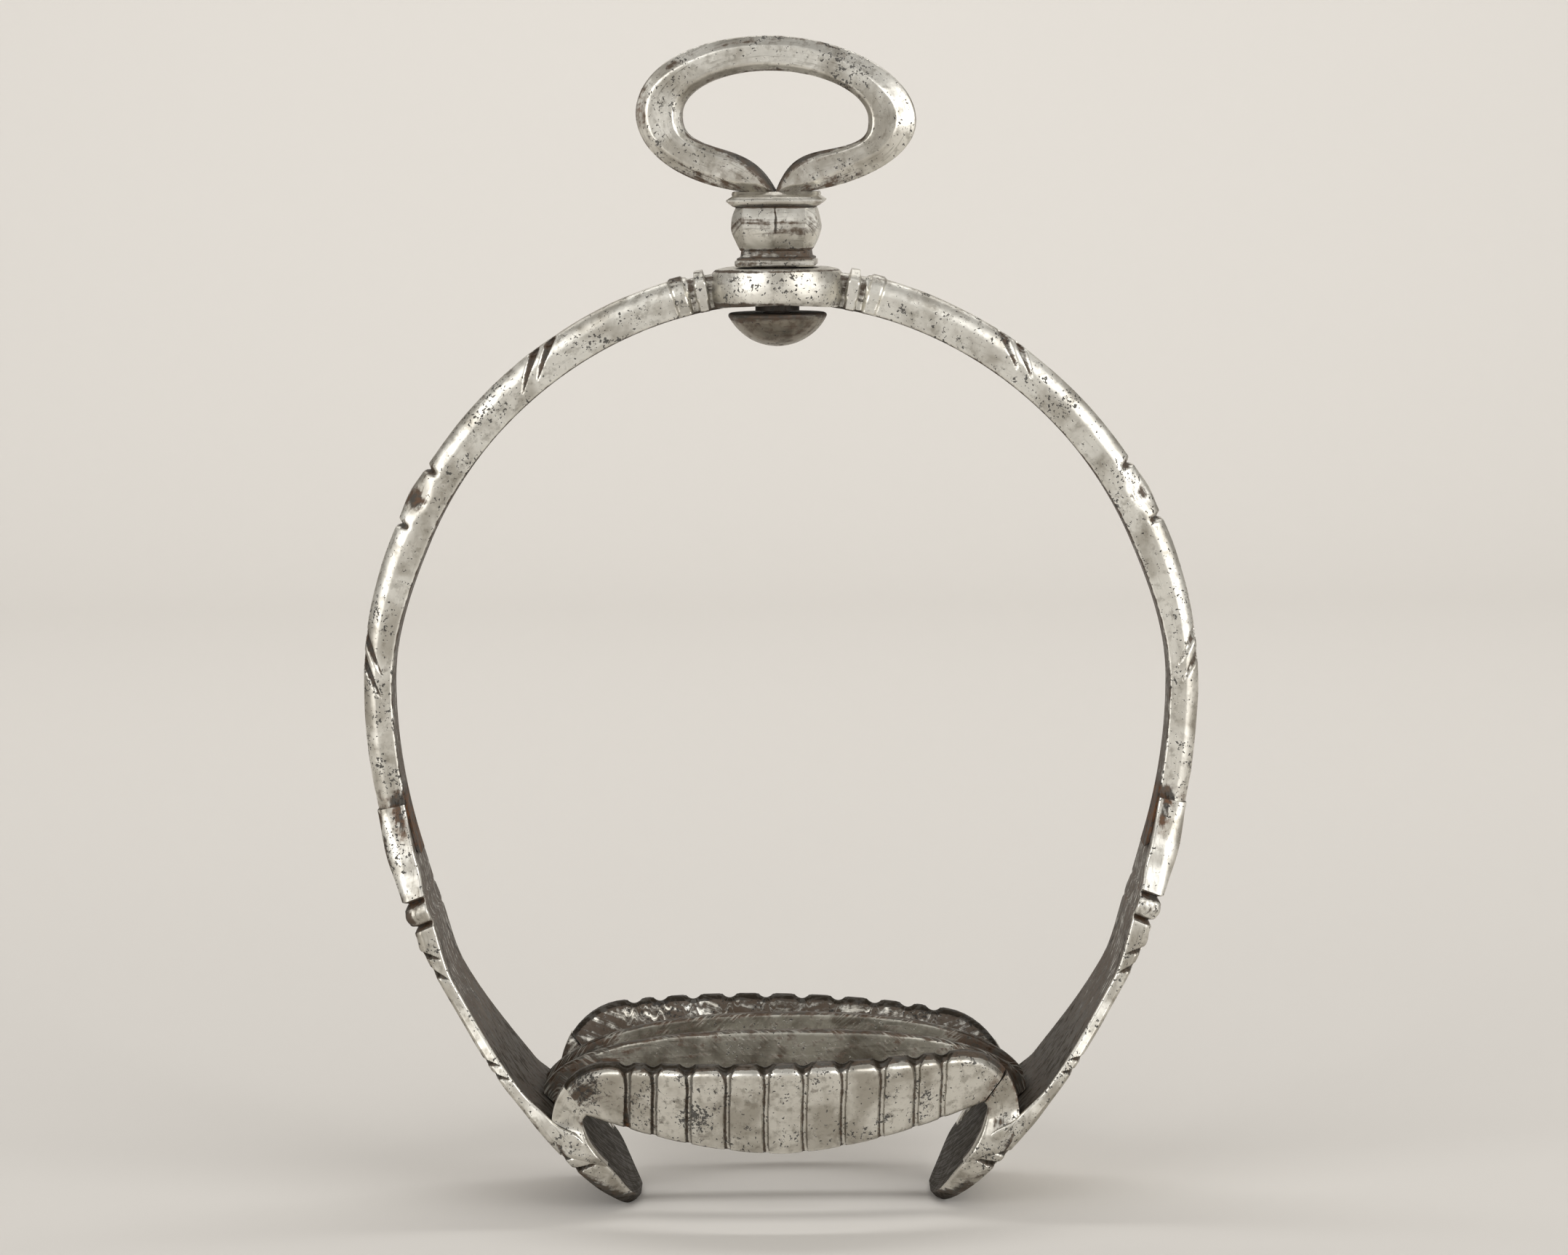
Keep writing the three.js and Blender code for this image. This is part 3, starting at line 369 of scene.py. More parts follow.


# In each piece below, the marks for dirt, copper and wear are sums of humps and bands with weights
# from 0 to 1. They say where dirt has settled and where shade is painted, where copper-red braze or
# rust shows, and where edges are rubbed and where highlights are painted.

def arch_limb(side):
    """One half of the arch, from inside the boss to the scarf: grooves and collars beside the boss,
    pairs of file nicks, and the knop, a scooped swelling between two notches. The bar's section is
    carried along the outer line, and each detail is a hump or band of the distance along that moves
    the surface outwards or towards the front and back."""
    inside_boss, scarf_start, scarf_stop = 6.0, SHOULDER_AT - 8, SHOULDER_AT + SCARF_LENGTH
    collars, upper_nicks, lower_nicks = (11.2, 19.4), (37, 51.4), (98, 112.6)
    knop_work = (KNOP_AT - 6.4, KNOP_AT + 6.4)
    s = fine(inside_boss, scarf_stop, 1.0, 0.2, collars, upper_nicks, knop_work, lower_nicks)
    s2 = s[:, None]
    near_crown = band(s, 0, 2 * (COLLAR_AT + COLLAR_WIDTH), 0.4)
    knop = hump(s, KNOP_AT, KNOP_LENGTH)
    notch = sum(hump(s, KNOP_AT + end * KNOP_LENGTH, NOTCH_WIDTH) for end in (-0.5, 0.5))
    taper = ease(s, BAR_TAPER_START, ARC_LENGTH)
    thick = BAR_THICK + (BAR_THICK_SIDE - BAR_THICK) * taper
    half = BAR_HALF_DEPTH + BAR_HALF_DEPTH_GAIN * ease(s, RIDGE_AT, SHOULDER_AT)
    half = half + 0.05 * wander(s, 17, side + 3)
    bevel_in = BAR_BEVEL_IN - 1.4 * near_crown - 0.5 * taper
    bevel_back = BAR_BEVEL_BACK - 1.1 * near_crown
    y, inwards = bow_section(half, thick, bevel_in, bevel_back, ARRIS, (6, 18, 18, 4, 8))
    v = inwards - np.maximum(0, (half - bevel_back)[:, None] - np.abs(y))

    leaf = 0.78 + 0.3 * hump(inwards, 2.9, 6.5)
    collar = band((s2 - COLLAR_AT) / leaf, 0, COLLAR_WIDTH, 0.32)
    ridge = band(s2 - RIDGE_AT + 0.08 * (inwards - 3), 0, RIDGE_WIDTH, 0.5)
    groove = near_crown[:, None] * (1 - collar)
    outer = np.clip(1 - inwards / bevel_in[:, None], 0, 1)
    inner = ease(inwards, thick[:, None] - 0.5, thick[:, None])
    cut = sum(file_nick(s2, v, nick[:2], nick[2:], NICK_WIDTH, NICK_DEPTH) for nick in ARCH_NICKS[side])
    scoop = hump(s2, KNOP_AT, KNOP_LENGTH * 0.85) * hump(v, 1.2, 5.2)
    notch_cut = notch[:, None] * ease(v, 3.2, 0.4)

    rise = collar * 0.55 + ridge * 0.35 - groove * 0.45
    rise = rise + 0.35 * knop[:, None] - 0.85 * notch[:, None]
    rise = rise + 0.06 * wander(s2, 23, side + 1) - 0.08
    inwards = inwards - rise * outer + (cut + 0.6 * scoop) * (1 - inner) * 0.75
    proud = collar * 1.1 + ridge * 0.5 - groove * 0.5
    sunk = cut + 0.55 * scoop + 0.3 * notch_cut
    y = y + np.sign(y) * (proud * ease(inwards, -0.6, 1.2) - sunk * (1 - inner))
    scarf_end = SHOULDER_AT + SCARF_LENGTH * np.clip(inwards / BAR_THICK_SIDE, 0, 1)
    stretch = (scarf_end - scarf_start) / (s[-1] - scarf_start)
    along = np.where(s2 < scarf_start, s2, scarf_start + (s2 - scarf_start) * stretch)
    points = bow_points(along, y, inwards, side)

    left_only = side < 0
    shaded = 1.0 if left_only else 0.75
    near_scarf = ease(along, SHOULDER_AT - 3.5, SHOULDER_AT)
    grime_and_shade = 0.07 + 0.55 * inner + 0.66 * shaded * stained(cut) + 0.7 * notch_cut
    grime_and_shade = grime_and_shade + 0.7 * shaded * scoop * hump(s2, KNOP_AT + 0.8, 7)
    grime_and_shade = grime_and_shade + 0.42 * groove * ease(inwards, 0.2, 1.2) + 0.3 * ridge * ease(inwards, 2.0, 0.4)
    grime_and_shade = grime_and_shade + near_scarf * ease(inwards, 1.0, 3.2) + 0.2 * outer * left_only
    rust = 0.8 * scoop * hump(s2, KNOP_AT + 0.6, 5) * left_only + 0.2 * stained(cut) + 0.5 * near_scarf
    rust = rust + 0.8 * ease(along, SHOULDER_AT - 3, SHOULDER_AT) * inner
    wear_and_highlight = 0.6 * hump(inwards, thick[:, None] - 0.3, 0.9) + 0.5 * hump(v, bevel_in[:, None], 1.8)
    wear_and_highlight = wear_and_highlight + 0.4 * collar
    return shell(points, along=along, around=round_length(points), grime_and_shade=grime_and_shade, copper=rust, wear_and_highlight=wear_and_highlight)


def boss():
    """The disc in the crown: a cushion-edged profile of radius and height turned about the swivel's
    axis, its heights bent to follow the arch, with the top filed flat."""
    hole = SHANK_RADIUS + SWIVEL_CLEARANCE
    top, foot = BOW_CENTRE_Z + BOW_RADIUS + 0.1, BOSS_FOOT_Z - 0.05
    corner = np.linspace(0, math.pi / 2, 9)
    down = np.linspace(1, -1, 15)
    round_x = BOSS_RADIUS - 1.5 + 1.2 * np.sin(corner)
    upper = np.stack([round_x, top - 1.1 + 1.1 * np.cos(corner)], axis=1)
    side_x = BOSS_RADIUS - 0.3 + 0.3 * (1 - down ** 2)
    cheek = np.stack([side_x, (top + foot) / 2 + down * (top - foot - 2) / 2], axis=1)
    lower = np.stack([round_x[::-1], foot + 1.0 - np.sin(corner)], axis=1)
    profile = np.concatenate([[(hole, foot), (hole, top)], upper, cheek, lower])
    outline = resample(profile[None], 110, 1)[0]
    angle = np.linspace(0, TAU, 180, endpoint=False)[:, None]
    x, y = outline[:, 0] * np.cos(angle), outline[:, 0] * np.sin(angle)
    bend = np.sqrt(BOW_RADIUS ** 2 - x ** 2) - BOW_RADIUS
    z = np.minimum(outline[:, 1] + bend + 0.05 * wander(angle * 10, 13, 2), CROWN_FLAT_Z)
    points = np.stack([x, y, z], axis=-1)
    radius = np.hypot(x, y)
    # painted shade: the boss's left side darker, away from the light
    left_painted_shade = 0.22 * ease(x, 2.0, -6.0) * (radius > BOSS_RADIUS - 1)
    # painted dark reflection along the rim's top edge, an upward face that mirrors the unlit space above
    dark_rim_reflection = band(z, CROWN_FLAT_Z - 0.35, 0.6, 0.25) * ease(radius, BOSS_RADIUS - 2, BOSS_RADIUS - 1)
    grime_and_shade = 0.8 * ease(radius, 7.6, 6.4) + 0.4 * ease(z, foot + 1, foot) + left_painted_shade + 0.5 * dark_rim_reflection
    wear_and_highlight = 0.35 * ease(radius, BOSS_RADIUS - 1.4, BOSS_RADIUS)
    return shell(points, closed=True, along=angle * BOSS_RADIUS, around=round_length(points),
                 grime_and_shade=grime_and_shade, copper=0.0, wear_and_highlight=wear_and_highlight)


def plate_profile(s):
    """Thickness and half depth along a side plate, eased from key to key. At the bottom the depth is
    rounded off like a tongue, by a superellipse that stops short of its end."""
    keys = at_height(PLATE_KEYS[:, 0])
    i = np.clip(np.searchsorted(keys, s, side="right") - 1, 0, len(keys) - 2)
    share = ease((s - keys[i]) / (keys[i + 1] - keys[i]), 0, 1)[..., None]
    sizes = PLATE_KEYS[i, 1:] * (1 - share) + PLATE_KEYS[i + 1, 1:] * share
    start = at_height(TONGUE_START_Z)
    along = np.clip((s - start) / (TIP_AT - start), 0, 1)
    left = (1 - (1 - TONGUE_END ** TONGUE_POWER) * along ** TONGUE_POWER) ** (1 / TONGUE_POWER)
    return sizes[..., 0], np.minimum(sizes[..., 1], TONGUE_HALF_DEPTH) * left


def plate(side):
    """One side plate: a lozenge, a bead between two grooves, a second small lozenge, file nicks and
    the foot. The bow's section is carried down the outer line with the plate's thickness and depth.
    The inner face is cut back along the scarf where the arch is let in."""
    details = [(BEAD_AT - 4, BEAD_AT + 4), (TIP_AT - 4, TIP_AT)]
    details += [(at_height(a + 0.8), at_height(b - 0.8)) for a, b, _ in PLATE_NICKS[side]]
    s = fine(SHOULDER_AT + SEAM_GAP, TIP_AT, 0.8, 0.25, *details)
    s2 = s[:, None]
    thick, half = plate_profile(s)
    groove_at = (BEAD_WIDTH + BEAD_GROOVE) / 2
    ring = hump(np.abs(s - BEAD_AT), groove_at, BEAD_GROOVE)
    lozenge_end = BEAD_AT - groove_at
    lozenge = hump(s, (SHOULDER_AT + lozenge_end) / 2, lozenge_end - SHOULDER_AT)
    small_lozenge = hump(s, at_height(44.4), 4)
    bead = hump(s, BEAD_AT, BEAD_WIDTH + 0.4)
    toe = ease(s, at_height(5), TIP_AT)
    bevel_in = 0.31 * thick + lozenge * 0.7 + 0.5 * toe
    bevel_back = 0.9 + lozenge * 0.8 + 0.8 * toe
    half = half - 1.1 * ring + 0.25 * bead + 0.06 * wander(s, 19, side + 5)
    y, inwards = bow_section(half, thick, bevel_in, bevel_back, 0.35, (24, 14, 12, 5, 44))
    v = inwards - np.maximum(0, (half - bevel_back)[:, None] - np.abs(y))
    depth = np.abs(y)
    outer = np.clip(1 - inwards / bevel_in[:, None], 0, 1)
    inner = ease(inwards, thick[:, None] - 0.3, thick[:, None])
    front = 1 - inner

    cut = 0
    for high, low, width in PLATE_NICKS[side]:
        start, end = at_height(high), at_height(low)
        run_out = 0.85 * np.interp(end, s, thick)
        cut = cut + file_nick(s2, v, (start, NICK_OVERSHOOT), (end, run_out), 1.15 * width, NICK_DEPTH)
    rise = ((lozenge + small_lozenge) * 0.35 - 0.95 * ring + 0.3 * bead)[:, None]
    rise = rise + 0.05 * wander(s2 + 0.6 * y, 21, side + 2)
    inwards = inwards - rise * outer + cut * 0.7 * front
    y = y - np.sign(y) * cut * front
    pocket = (s2 - SHOULDER_AT - 0.35) / SCARF_LENGTH * BAR_THICK_SIDE
    in_pocket = (depth < POCKET_HALF) & (inner > 0.9)
    inwards = np.where(in_pocket, np.clip(pocket, 0.05, inwards), inwards)
    points = bow_points(s2, y, inwards, side)

    face = np.clip(inner * ease(depth, half[:, None] - 0.2, half[:, None] - 0.7), 0, 1)
    low_down = ease(s2, at_height(45), at_height(18))
    sole = ease(s2, at_height(19), at_height(13))
    # painted shade: darker in the crevice where plate, rails and walls meet
    crevice_shade = hump(s2, at_height(24), 30)
    tongue = ease(s2, at_height(10), at_height(2)) * ease(v, 3.2, 1.0) * front
    step = ease(s2, SHOULDER_AT + 9, SHOULDER_AT + 2) * ease(inwards, 1.6, 3.4)
    step = step * ease(inwards, thick[:, None], 3.6) * (depth > 3)
    # The inner face: partly its brown patina, partly painted shade, as it lies out of the light; darker lower
    # down and towards the sole
    grime_and_shade = face * (0.6 + 0.14 * low_down + 0.3 * sole + 0.2 * crevice_shade) + 0.7 * tongue
    grime_and_shade = grime_and_shade + (0.35 * hump(s2, BEAD_AT, 9) + ring[:, None]) * front + 0.85 * stained(cut)
    grime_and_shade = grime_and_shade + 0.8 * ease(s2, TIP_AT - 4.5, TIP_AT) + 0.5 * outer * front * (side < 0) + 0.75 * step
    rust = step + 0.4 * ring[:, None] * (depth > 3)
    rubbed = hump(inwards, thick[:, None] - 0.25, 1.0) * (depth > half[:, None] - 0.6)
    return shell(points, along=s2, around=round_length(points), grime_and_shade=grime_and_shade, copper=rust,
                 wear_and_highlight=rubbed * (1 - face))


# Tread

def shoulder_point(turn):
    """The wall's quarter-ellipse shoulder seen from the front, at an angle turned down from the top."""
    reach = (WALL_END_X - WALL_SHOULDER_X) * np.sin(turn)
    rise = (TREAD_TOP_Z - TREAD_TOP_SAG - WALL_END_Z) * np.cos(turn)
    return WALL_SHOULDER_X + reach, WALL_END_Z + rise


def wall_top(x):
    """Height of the wall's top edge: nearly level, then the quarter ellipse."""
    reach = np.abs(x)
    level = TREAD_TOP_Z - TREAD_TOP_SAG * (reach / WALL_SHOULDER_X) ** 2
    turn = np.arcsin(np.clip((reach - WALL_SHOULDER_X) / (WALL_END_X - WALL_SHOULDER_X), 0, 1))
    return np.where(reach <= WALL_SHOULDER_X, level, shoulder_point(turn)[1])


def wall_foot(x):
    """Height of the wall's lower edge, a belly that rises towards the ends as the 1.6th power of x."""
    return BELLY_Z + BELLY_RISE * (np.abs(x) / INNER_CORNER_X) ** 1.6


def wall_depth(x, z, inwards):
    """Distance from the middle plane: an arc seen from above, leaning out towards the top edge."""
    radius = PLAN_RADIUS - (wall_top(x) - z) * WALL_LEAN - inwards
    return TREAD_HALF_DEPTH - PLAN_RADIUS + np.sqrt(radius ** 2 - x ** 2)


STEPS_OUT = np.arange(5)
GROOVES = LOBE_WIDTH * (STEPS_OUT + 0.5) - LOBE_TAPER * np.maximum(0, STEPS_OUT - 2) ** 2
GROOVES = np.concatenate([-GROOVES[::-1], GROOVES])


def fluted_wall(face):
    """A fluted tread wall: a nine-cornered section carried from seam to seam and part of the way
    round both shoulders. Each groove is a half round filed down the outside. It opens out at the top,
    so that every lobe between two grooves is crowned and has a rounded head."""
    x = fine(-INNER_CORNER_X, INNER_CORNER_X, 0.7, 0.15, *[(m - 1.9, m + 1.9) for m in GROOVES])
    share = np.clip((np.abs(x) - WALL_SHOULDER_X) / (INNER_CORNER_X - WALL_SHOULDER_X), 0, 1)
    turned_x, turned_z = shoulder_point(share * SEAM_TURN)
    beyond = np.abs(x) > WALL_SHOULDER_X
    top_x = np.where(beyond, np.sign(x) * turned_x, x)
    top_z = np.where(beyond, turned_z, wall_top(x))
    foot_z = wall_foot(x)
    length = np.hypot(top_x - x, top_z - foot_z)
    # Corners of the section: (share of the height, height beyond that, distance in from the outside)
    section = [(1, 0, 1.7), (1, -1.3, 0.15), (1, -1.8, 0), (0.5, 0, 0), (0, 0.5, 0), (0, 0, 0.5),
               (0, 0, WALL_THICK_FOOT), (1, -0.2, WALL_THICK_TOP), (1, 0, WALL_THICK_TOP - 0.3)]
    corners = np.stack([np.stack([length * a + b, 0 * length + c], 1) for a, b, c in section], axis=1)
    outline = resample(corners, 120, 1)
    up, inwards = outline[..., 0] / length[:, None], outline[..., 1]
    below = (1 - up) * length[:, None]
    x2 = x[:, None]

    wavy_x = x2 + 0.16 * wander(below, 17, 2)
    offsets = wavy_x[None] - GROOVES[:, None, None]
    aside = np.take_along_axis(offsets, np.abs(offsets).argmin(axis=0)[None], axis=0)[0]
    gap = np.abs(aside)
    width = 0.52 + 1.25 * np.exp(-below / 0.95)
    bowl = np.sqrt(np.clip(1 - (gap / width) ** 2, 0, 1))
    depth = 0.55 + 0.35 * np.exp(-below / 1.4)
    outside = ease(inwards, 2.3, 1.5)
    lobe = LOBE_CROWN * np.clip((gap - 0.4) / 1.7, 0, 1) ** 0.6
    crown = np.where(np.abs(x2) < GROOVES[-1] + 0.4, lobe, LOBE_CROWN * ease(gap, 0.2, 1.6))
    inwards = inwards + (bowl * depth - crown * (1 - bowl)) * outside
    inwards = inwards + 0.05 * wander(x2 + 0.8 * below, 13, face + 4)
    notch = 0.6 * np.clip(1 - (gap / 1.25) ** 2, 0, 1) * ease(up, 0.85, 1)
    at_x = x2 + (top_x - x)[:, None] * up
    at_z = foot_z[:, None] + (top_z - foot_z)[:, None] * up - notch
    at_y = face * wall_depth(at_x, at_z, inwards)
    points = np.stack([at_x, at_y, at_z + at_x * WALL_TILT[face]], axis=-1)

    nail = 0.8 * np.clip(1 - gap / 2.2, 0, 1) ** 2
    # painted highlight: a bright line down each groove's floor and along each lobe's head, carried in the
    # wear mark
    lit = hump(aside, 0.22, 0.6) * outside + 0.4 * hump(below - nail, 1.7, 1.0) * outside * (1 - bowl)
    inside = ease(inwards, WALL_THICK_FOOT - 0.7, WALL_THICK_FOOT - 0.2)
    groove_dirt = (hump(aside / width, -0.5, 1.5) + 0.6 * hump(aside / width, 1.0, 0.5)) * outside
    left_end = hump(x2, GROOVES[0] - 0.2, 1.6) * ease(up, 0.4, 0.1) * outside
    # A real stain round the left shoulder, and painted shade that darkens the wall towards the left
    shoulder_stain_and_left_shade = (0.4 * hump(x2, -31.5, 7) * hump(up, 0.62, 0.9) + 0.26 * ease(x2, 4, -26)) * outside
    # painted dark reflection: the top edge and lobe heads darkened as upward faces that mirror the unlit
    # space above
    top_dark_reflection = ease(below - nail * outside, 1.05, 0.4)
    inside_dirt = 0.45 if face < 0 else 0.56
    grime_and_shade = 0.75 * groove_dirt + 0.78 * top_dark_reflection + inside_dirt * inside + 0.4 * ease(up, 0.03, 0.0)
    grime_and_shade = grime_and_shade + left_end + shoulder_stain_and_left_shade
    seam = hump(x2 * face, -INNER_CORNER_X, 2.4) * (face < 0)
    return shell(points, along=x2, around=round_length(points), grime_and_shade=grime_and_shade,
                 copper=0.7 * seam + left_end, wear_and_highlight=0.9 * lit)


# Edges of a horn seen from the front: (share of the way down, x, z). The outer one starts on the
# shoulder, at the shares of the turn that HORN_TURNS gives.
HORN_TURNS = [(0.12, 0.3), (0.24, 0.65), (0.36, 1.0)]
HORN_OUTER = [(0.47, 38.75, 15.6), (0.6, 38.2, 13.2), (0.78, 36.3, 10.4), (1, 33.2, 7.4)]
HORN_INNER = [(0.14, 33.45, 17.4), (0.3, 33.35, 15.9), (0.5, 32.5, 13.4), (0.68, 31.2, 11.1),
              (0.84, 29.9, 9.1), (1, 28.6, 7.0)]
# Its section, a rounded rectangle: (distance across, distance back)
HORN_WIDTH, HORN_BACK = 5.0, 3.2
HORN_SECTION = [(5, 0.25), (4.75, 0.0), (2.5, 0.0), (0.3, 0.0), (0.0, 0.3), (0.0, 3.2), (5.0, 3.2)]
HORN_THICK = 4.4  # where it has run out on the plate
HORN_SUNK = 1.9  # how far its end lies below the plate's front


def horn(side, face):
    """The ribbon that rises from the foot's front to the wall's end. Its two edges are smooth curves:
    the outer one goes on round the shoulder, down to the plate, and runs out along the plate's front;
    the inner one comes down to the foot's inner edge. Across it is a rounded rectangle."""
    joined = side * face > 0
    t = np.linspace(0, 1, 80)
    foot = np.array([INNER_CORNER_X, wall_foot(INNER_CORNER_X)])
    top = np.array(shoulder_point(SEAM_TURN))
    across = (top - foot) / np.linalg.norm(top - foot)
    aside = np.array([across[1], -across[0]]) * (0.0 if joined else SEAM_GAP)
    shoulder = [(at, *shoulder_point(SEAM_TURN + (HORN_TURN - SEAM_TURN) * turn)) for at, turn in HORN_TURNS]
    outer = through(t, (0, *(top + aside)), *shoulder, *HORN_OUTER)
    inner = through(t, (0, *(foot + aside)), *HORN_INNER)
    corners = np.broadcast_to(np.array(HORN_SECTION), (len(t), len(HORN_SECTION), 2))
    outline = resample(corners, 110, 2) / (HORN_WIDTH, HORN_BACK)
    part, back = outline[..., 0], outline[..., 1]
    at_x = inner[:, :1] * (1 - part) + outer[:, :1] * part
    at_z = inner[:, 1:] * (1 - part) + outer[:, 1:] * part

    hollow = 0.35 * hump(t, 0.5, 0.7)[:, None] * hump(part, 0.5, 1.2)
    at_s = at_height(at_z)
    front = (1 - ease(back, 0, 0.4)) * (face < 0)
    cut = 0
    for high, low, width in PLATE_NICKS[side][-2:]:
        start, end = (at_height(high), NICK_OVERSHOOT), (at_height(low), 3.4)
        cut = cut + file_nick(at_s, HORN_WIDTH * (1 - part), start, end, 1.3 * width, 0.65) * front
    wall_z = np.maximum(at_z, WALL_END_Z - 0.2 * (WALL_END_X - at_x))
    wall_y = wall_depth(at_x, wall_z, back * WALL_THICK_FOOT)
    plate_y = plate_profile(at_s)[1] + 0.12 - HORN_SUNK * ease(t, 0.72, 1)[:, None]
    plate_y = plate_y - hollow - back * HORN_THICK - cut
    merge = ease(t, 0.62, 0.22)[:, None]
    y = plate_y * (1 - merge) + wall_y * merge
    tilt = side * at_x * WALL_TILT[face] * ease(t, 0.9, 0.3)[:, None]
    points = np.stack([side * at_x, face * y, at_z + tilt], axis=-1)

    inside = ease(back, 0.35, 0.8)
    corner_rust = hump(t, 0.22, 0.3)[:, None] * ease(part, 0.3, 0.02)
    hollow_dirt = hump(t, 0.45, 0.3)[:, None] * (1 - inside) * hump(part, 0.45, 0.9)
    outer_edge = ease(part, 0.64, 0.92) * ease(t, 0.35, 0.6)[:, None] * (1 - inside)
    grime_and_shade = (0.85 if face < 0 else 0.5) * inside + 0.55 * outer_edge + 0.55 * corner_rust
    grime_and_shade = grime_and_shade + 0.6 * hollow_dirt + 0.85 * stained(cut)
    braze = ease(t, 0.06, 0.0)[:, None] + ease(part, 0.9, 1.0) * ease(t, 0.55, 0.35)[:, None]
    brazed = face < 0 and not joined
    wear_and_highlight = 0.4 * hump(part, 0.97, 0.1) * (1 - inside)
    return shell(points, along=t[:, None] * 16, around=round_length(points), grime_and_shade=grime_and_shade,
                 copper=braze * brazed + 0.5 * corner_rust, wear_and_highlight=wear_and_highlight)


def inner_face_line():
    """The plate's inner face seen from the front: rising heights, and how far out it lies there."""
    s = np.linspace(at_height(60), at_height(9), 200)
    point, out = outer_line(s)
    face = point - out * plate_profile(s)[0][:, None]
    order = np.argsort(face[:, 1])
    return face[order, 1], face[order, 0]


INNER_Z, INNER_X = inner_face_line()


def rail(face):
    """A plain tread rail: an upright strip bowed outwards, whose top is a superellipse and whose ends
    stop a seam gap short of the side plates."""
    x = fine(-40.4, 40.4, 0.7, 0.7)
    share = np.abs(x) / WALL_END_X
    middle = RAIL_Y - RAIL_BOW * share ** 2 + 0.08 * wander(x, 27, face + 6)
    base = WALL_END_Z - 2.2
    top = base + (RAIL_TOP_Z - base) * superellipse(x, WALL_END_X + 3.2, 2.5)
    foot = np.minimum(RAIL_TOP_Z - RAIL_HEIGHT - 5 * share ** 4, top - 1.2)
    half = RAIL_THICK / 2
    # Corners of the section: (distance from its middle, share of the height, height beyond that)
    section = [(-half + 0.3, 1, 0), (-half, 1, -0.3), (-half, 0, 0.2), (-half + 0.2, 0, 0),
               (half - 0.2, 0, 0), (half, 0, 0.2), (half, 1, -0.3), (half - 0.3, 1, 0)]
    corners = np.stack([np.stack([0 * x + a, foot + (top - foot) * b + c], 1) for a, b, c in section], axis=1)
    outline = resample(corners, 84, 1)
    foot, top = foot[:, None], top[:, None]
    z = outline[..., 1] + 0.06 * wander(x, 9, face + 2)[:, None] * ease(outline[..., 1], foot, top)
    limit = np.interp(z, INNER_Z, INNER_X) - SEAM_GAP
    at_x = np.clip(x[:, None], -limit, limit)
    points = np.stack([at_x, face * (middle[:, None] + outline[..., 0]), z], axis=-1)
    up = np.clip((z - foot) / (top - foot), 0, 1)
    # A base of dirt; the top edge darker as painted dark reflection of the unlit space above, and the ends
    # darker as painted shade where the rails meet the plates
    grime_and_shade = 0.3 + 0.6 * ease(up, 0.95, 0.99) + 0.6 * ease(share, 0.62, 0.95)[:, None]
    return shell(points, along=x[:, None], around=round_length(points), grime_and_shade=grime_and_shade, copper=0.2, wear_and_highlight=0.0)


# Swivel

def eye_skew(x, z):
    """How much higher a point of the eye lies because its right end is bent down: minus x times the
    skew, fading to nothing at the neck."""
    return -x * EYE_SKEW * ease(z, NECK_TOP_Z, EYE_Z)


def eye_loop():
    """The bar of the eye, bent round from one side of the V to the other: flat faces, a wide chamfer
    outside and a narrow one inside. The outer line is two half ellipses, and the opening's lower edge
    a superellipse with a sharp dip that is steeper on its right."""
    angle = np.radians(np.linspace(-89.4, 269.4, 440))
    c, s = np.cos(angle), np.sin(angle)
    left, right = ease(-c, 0.3, 0.9), ease(c, 0.1, 0.9)
    uneven = 0.2 * wander(angle * 10, 31, 1)
    outer_x = (EYE_HALF_WIDTH + uneven) * c
    outer_z = EYE_Z + np.where(s > 0, EYE_RISE + uneven, EYE_FALL) * s
    inner_x = OPENING_HALF_WIDTH * c
    dip = 7.1 * np.exp(-np.abs(inner_x) / np.where(inner_x < 0, 3.4, 2.6))
    lower_edge = -OPENING_FALL * superellipse(inner_x, OPENING_HALF_WIDTH, 3) - dip
    inner_z = EYE_Z + np.where(s > 0, OPENING_RISE * s, lower_edge)
    outer, inner = np.stack([outer_x, outer_z], 1), np.stack([inner_x, inner_z], 1)
    width = np.linalg.norm(outer - inner, axis=1)
    out = (outer - inner) / width[:, None]
    deep = EYE_HALF_DEPTH + 0.08 * wander(angle * 10, 17, 4)
    cut_out = np.minimum(1.5 + 1.5 * right + 0.5 * left, width * 0.4)
    cut_out = cut_out * (1 + 0.15 * wander(angle * 10, 23, 5))
    cut_in = np.minimum(1.1, width * 0.2) * (1 - 0.25 * c)
    edge = [(0 * width, deep - cut_in), (cut_in, deep),
            (width - cut_out, deep), (width, deep - cut_out * 0.7)]
    section = [(r, -y) for r, y in edge] + edge[::-1]
    outline = resample(np.stack([np.stack(corner, 1) for corner in section], 1), 104, 1)
    r, y = outline[..., 0], outline[..., 1]
    flat = inner[:, None, :] + out[:, None, :] * r[..., None]
    at_x, at_z = flat[..., 0], flat[..., 1]
    points = np.stack([at_x, y, at_z + eye_skew(at_x, at_z)], axis=-1)

    angle, c, s, width, cut_out, cut_in = (v[:, None] for v in (angle, c, s, width, cut_out, cut_in))
    low = ease(-s, 0.72, 0.98)
    rim = ease(r, width - cut_out - 0.1, width - cut_out + 0.5)
    rim_shade = 0.34 * (1 - ease(c, 0.4, 0.9)) * rim
    upper_right = hump(angle, math.radians(38), 0.9) * hump(r, 0.9, 1.4)
    left_rust = hump(angle, math.radians(178), 0.7) * rim
    grime_and_shade = 0.45 * ease(r, 1.1, 0.0) + 0.4 * low * ease(r, 2.5, 0.5) + rim_shade
    grime_and_shade = grime_and_shade + 0.1 * ease(-s, 0.2, 0.8) + 0.4 * upper_right
    wear_and_highlight = 0.3 * hump(r, width - cut_out, 1.2) + 0.25 * hump(r, cut_in, 0.8)
    return shell(points, along=angle * 19, around=round_length(points), grime_and_shade=grime_and_shade,
                 copper=0.25 * low * ease(r, 0, 4) + 0.5 * left_rust, wear_and_highlight=wear_and_highlight)


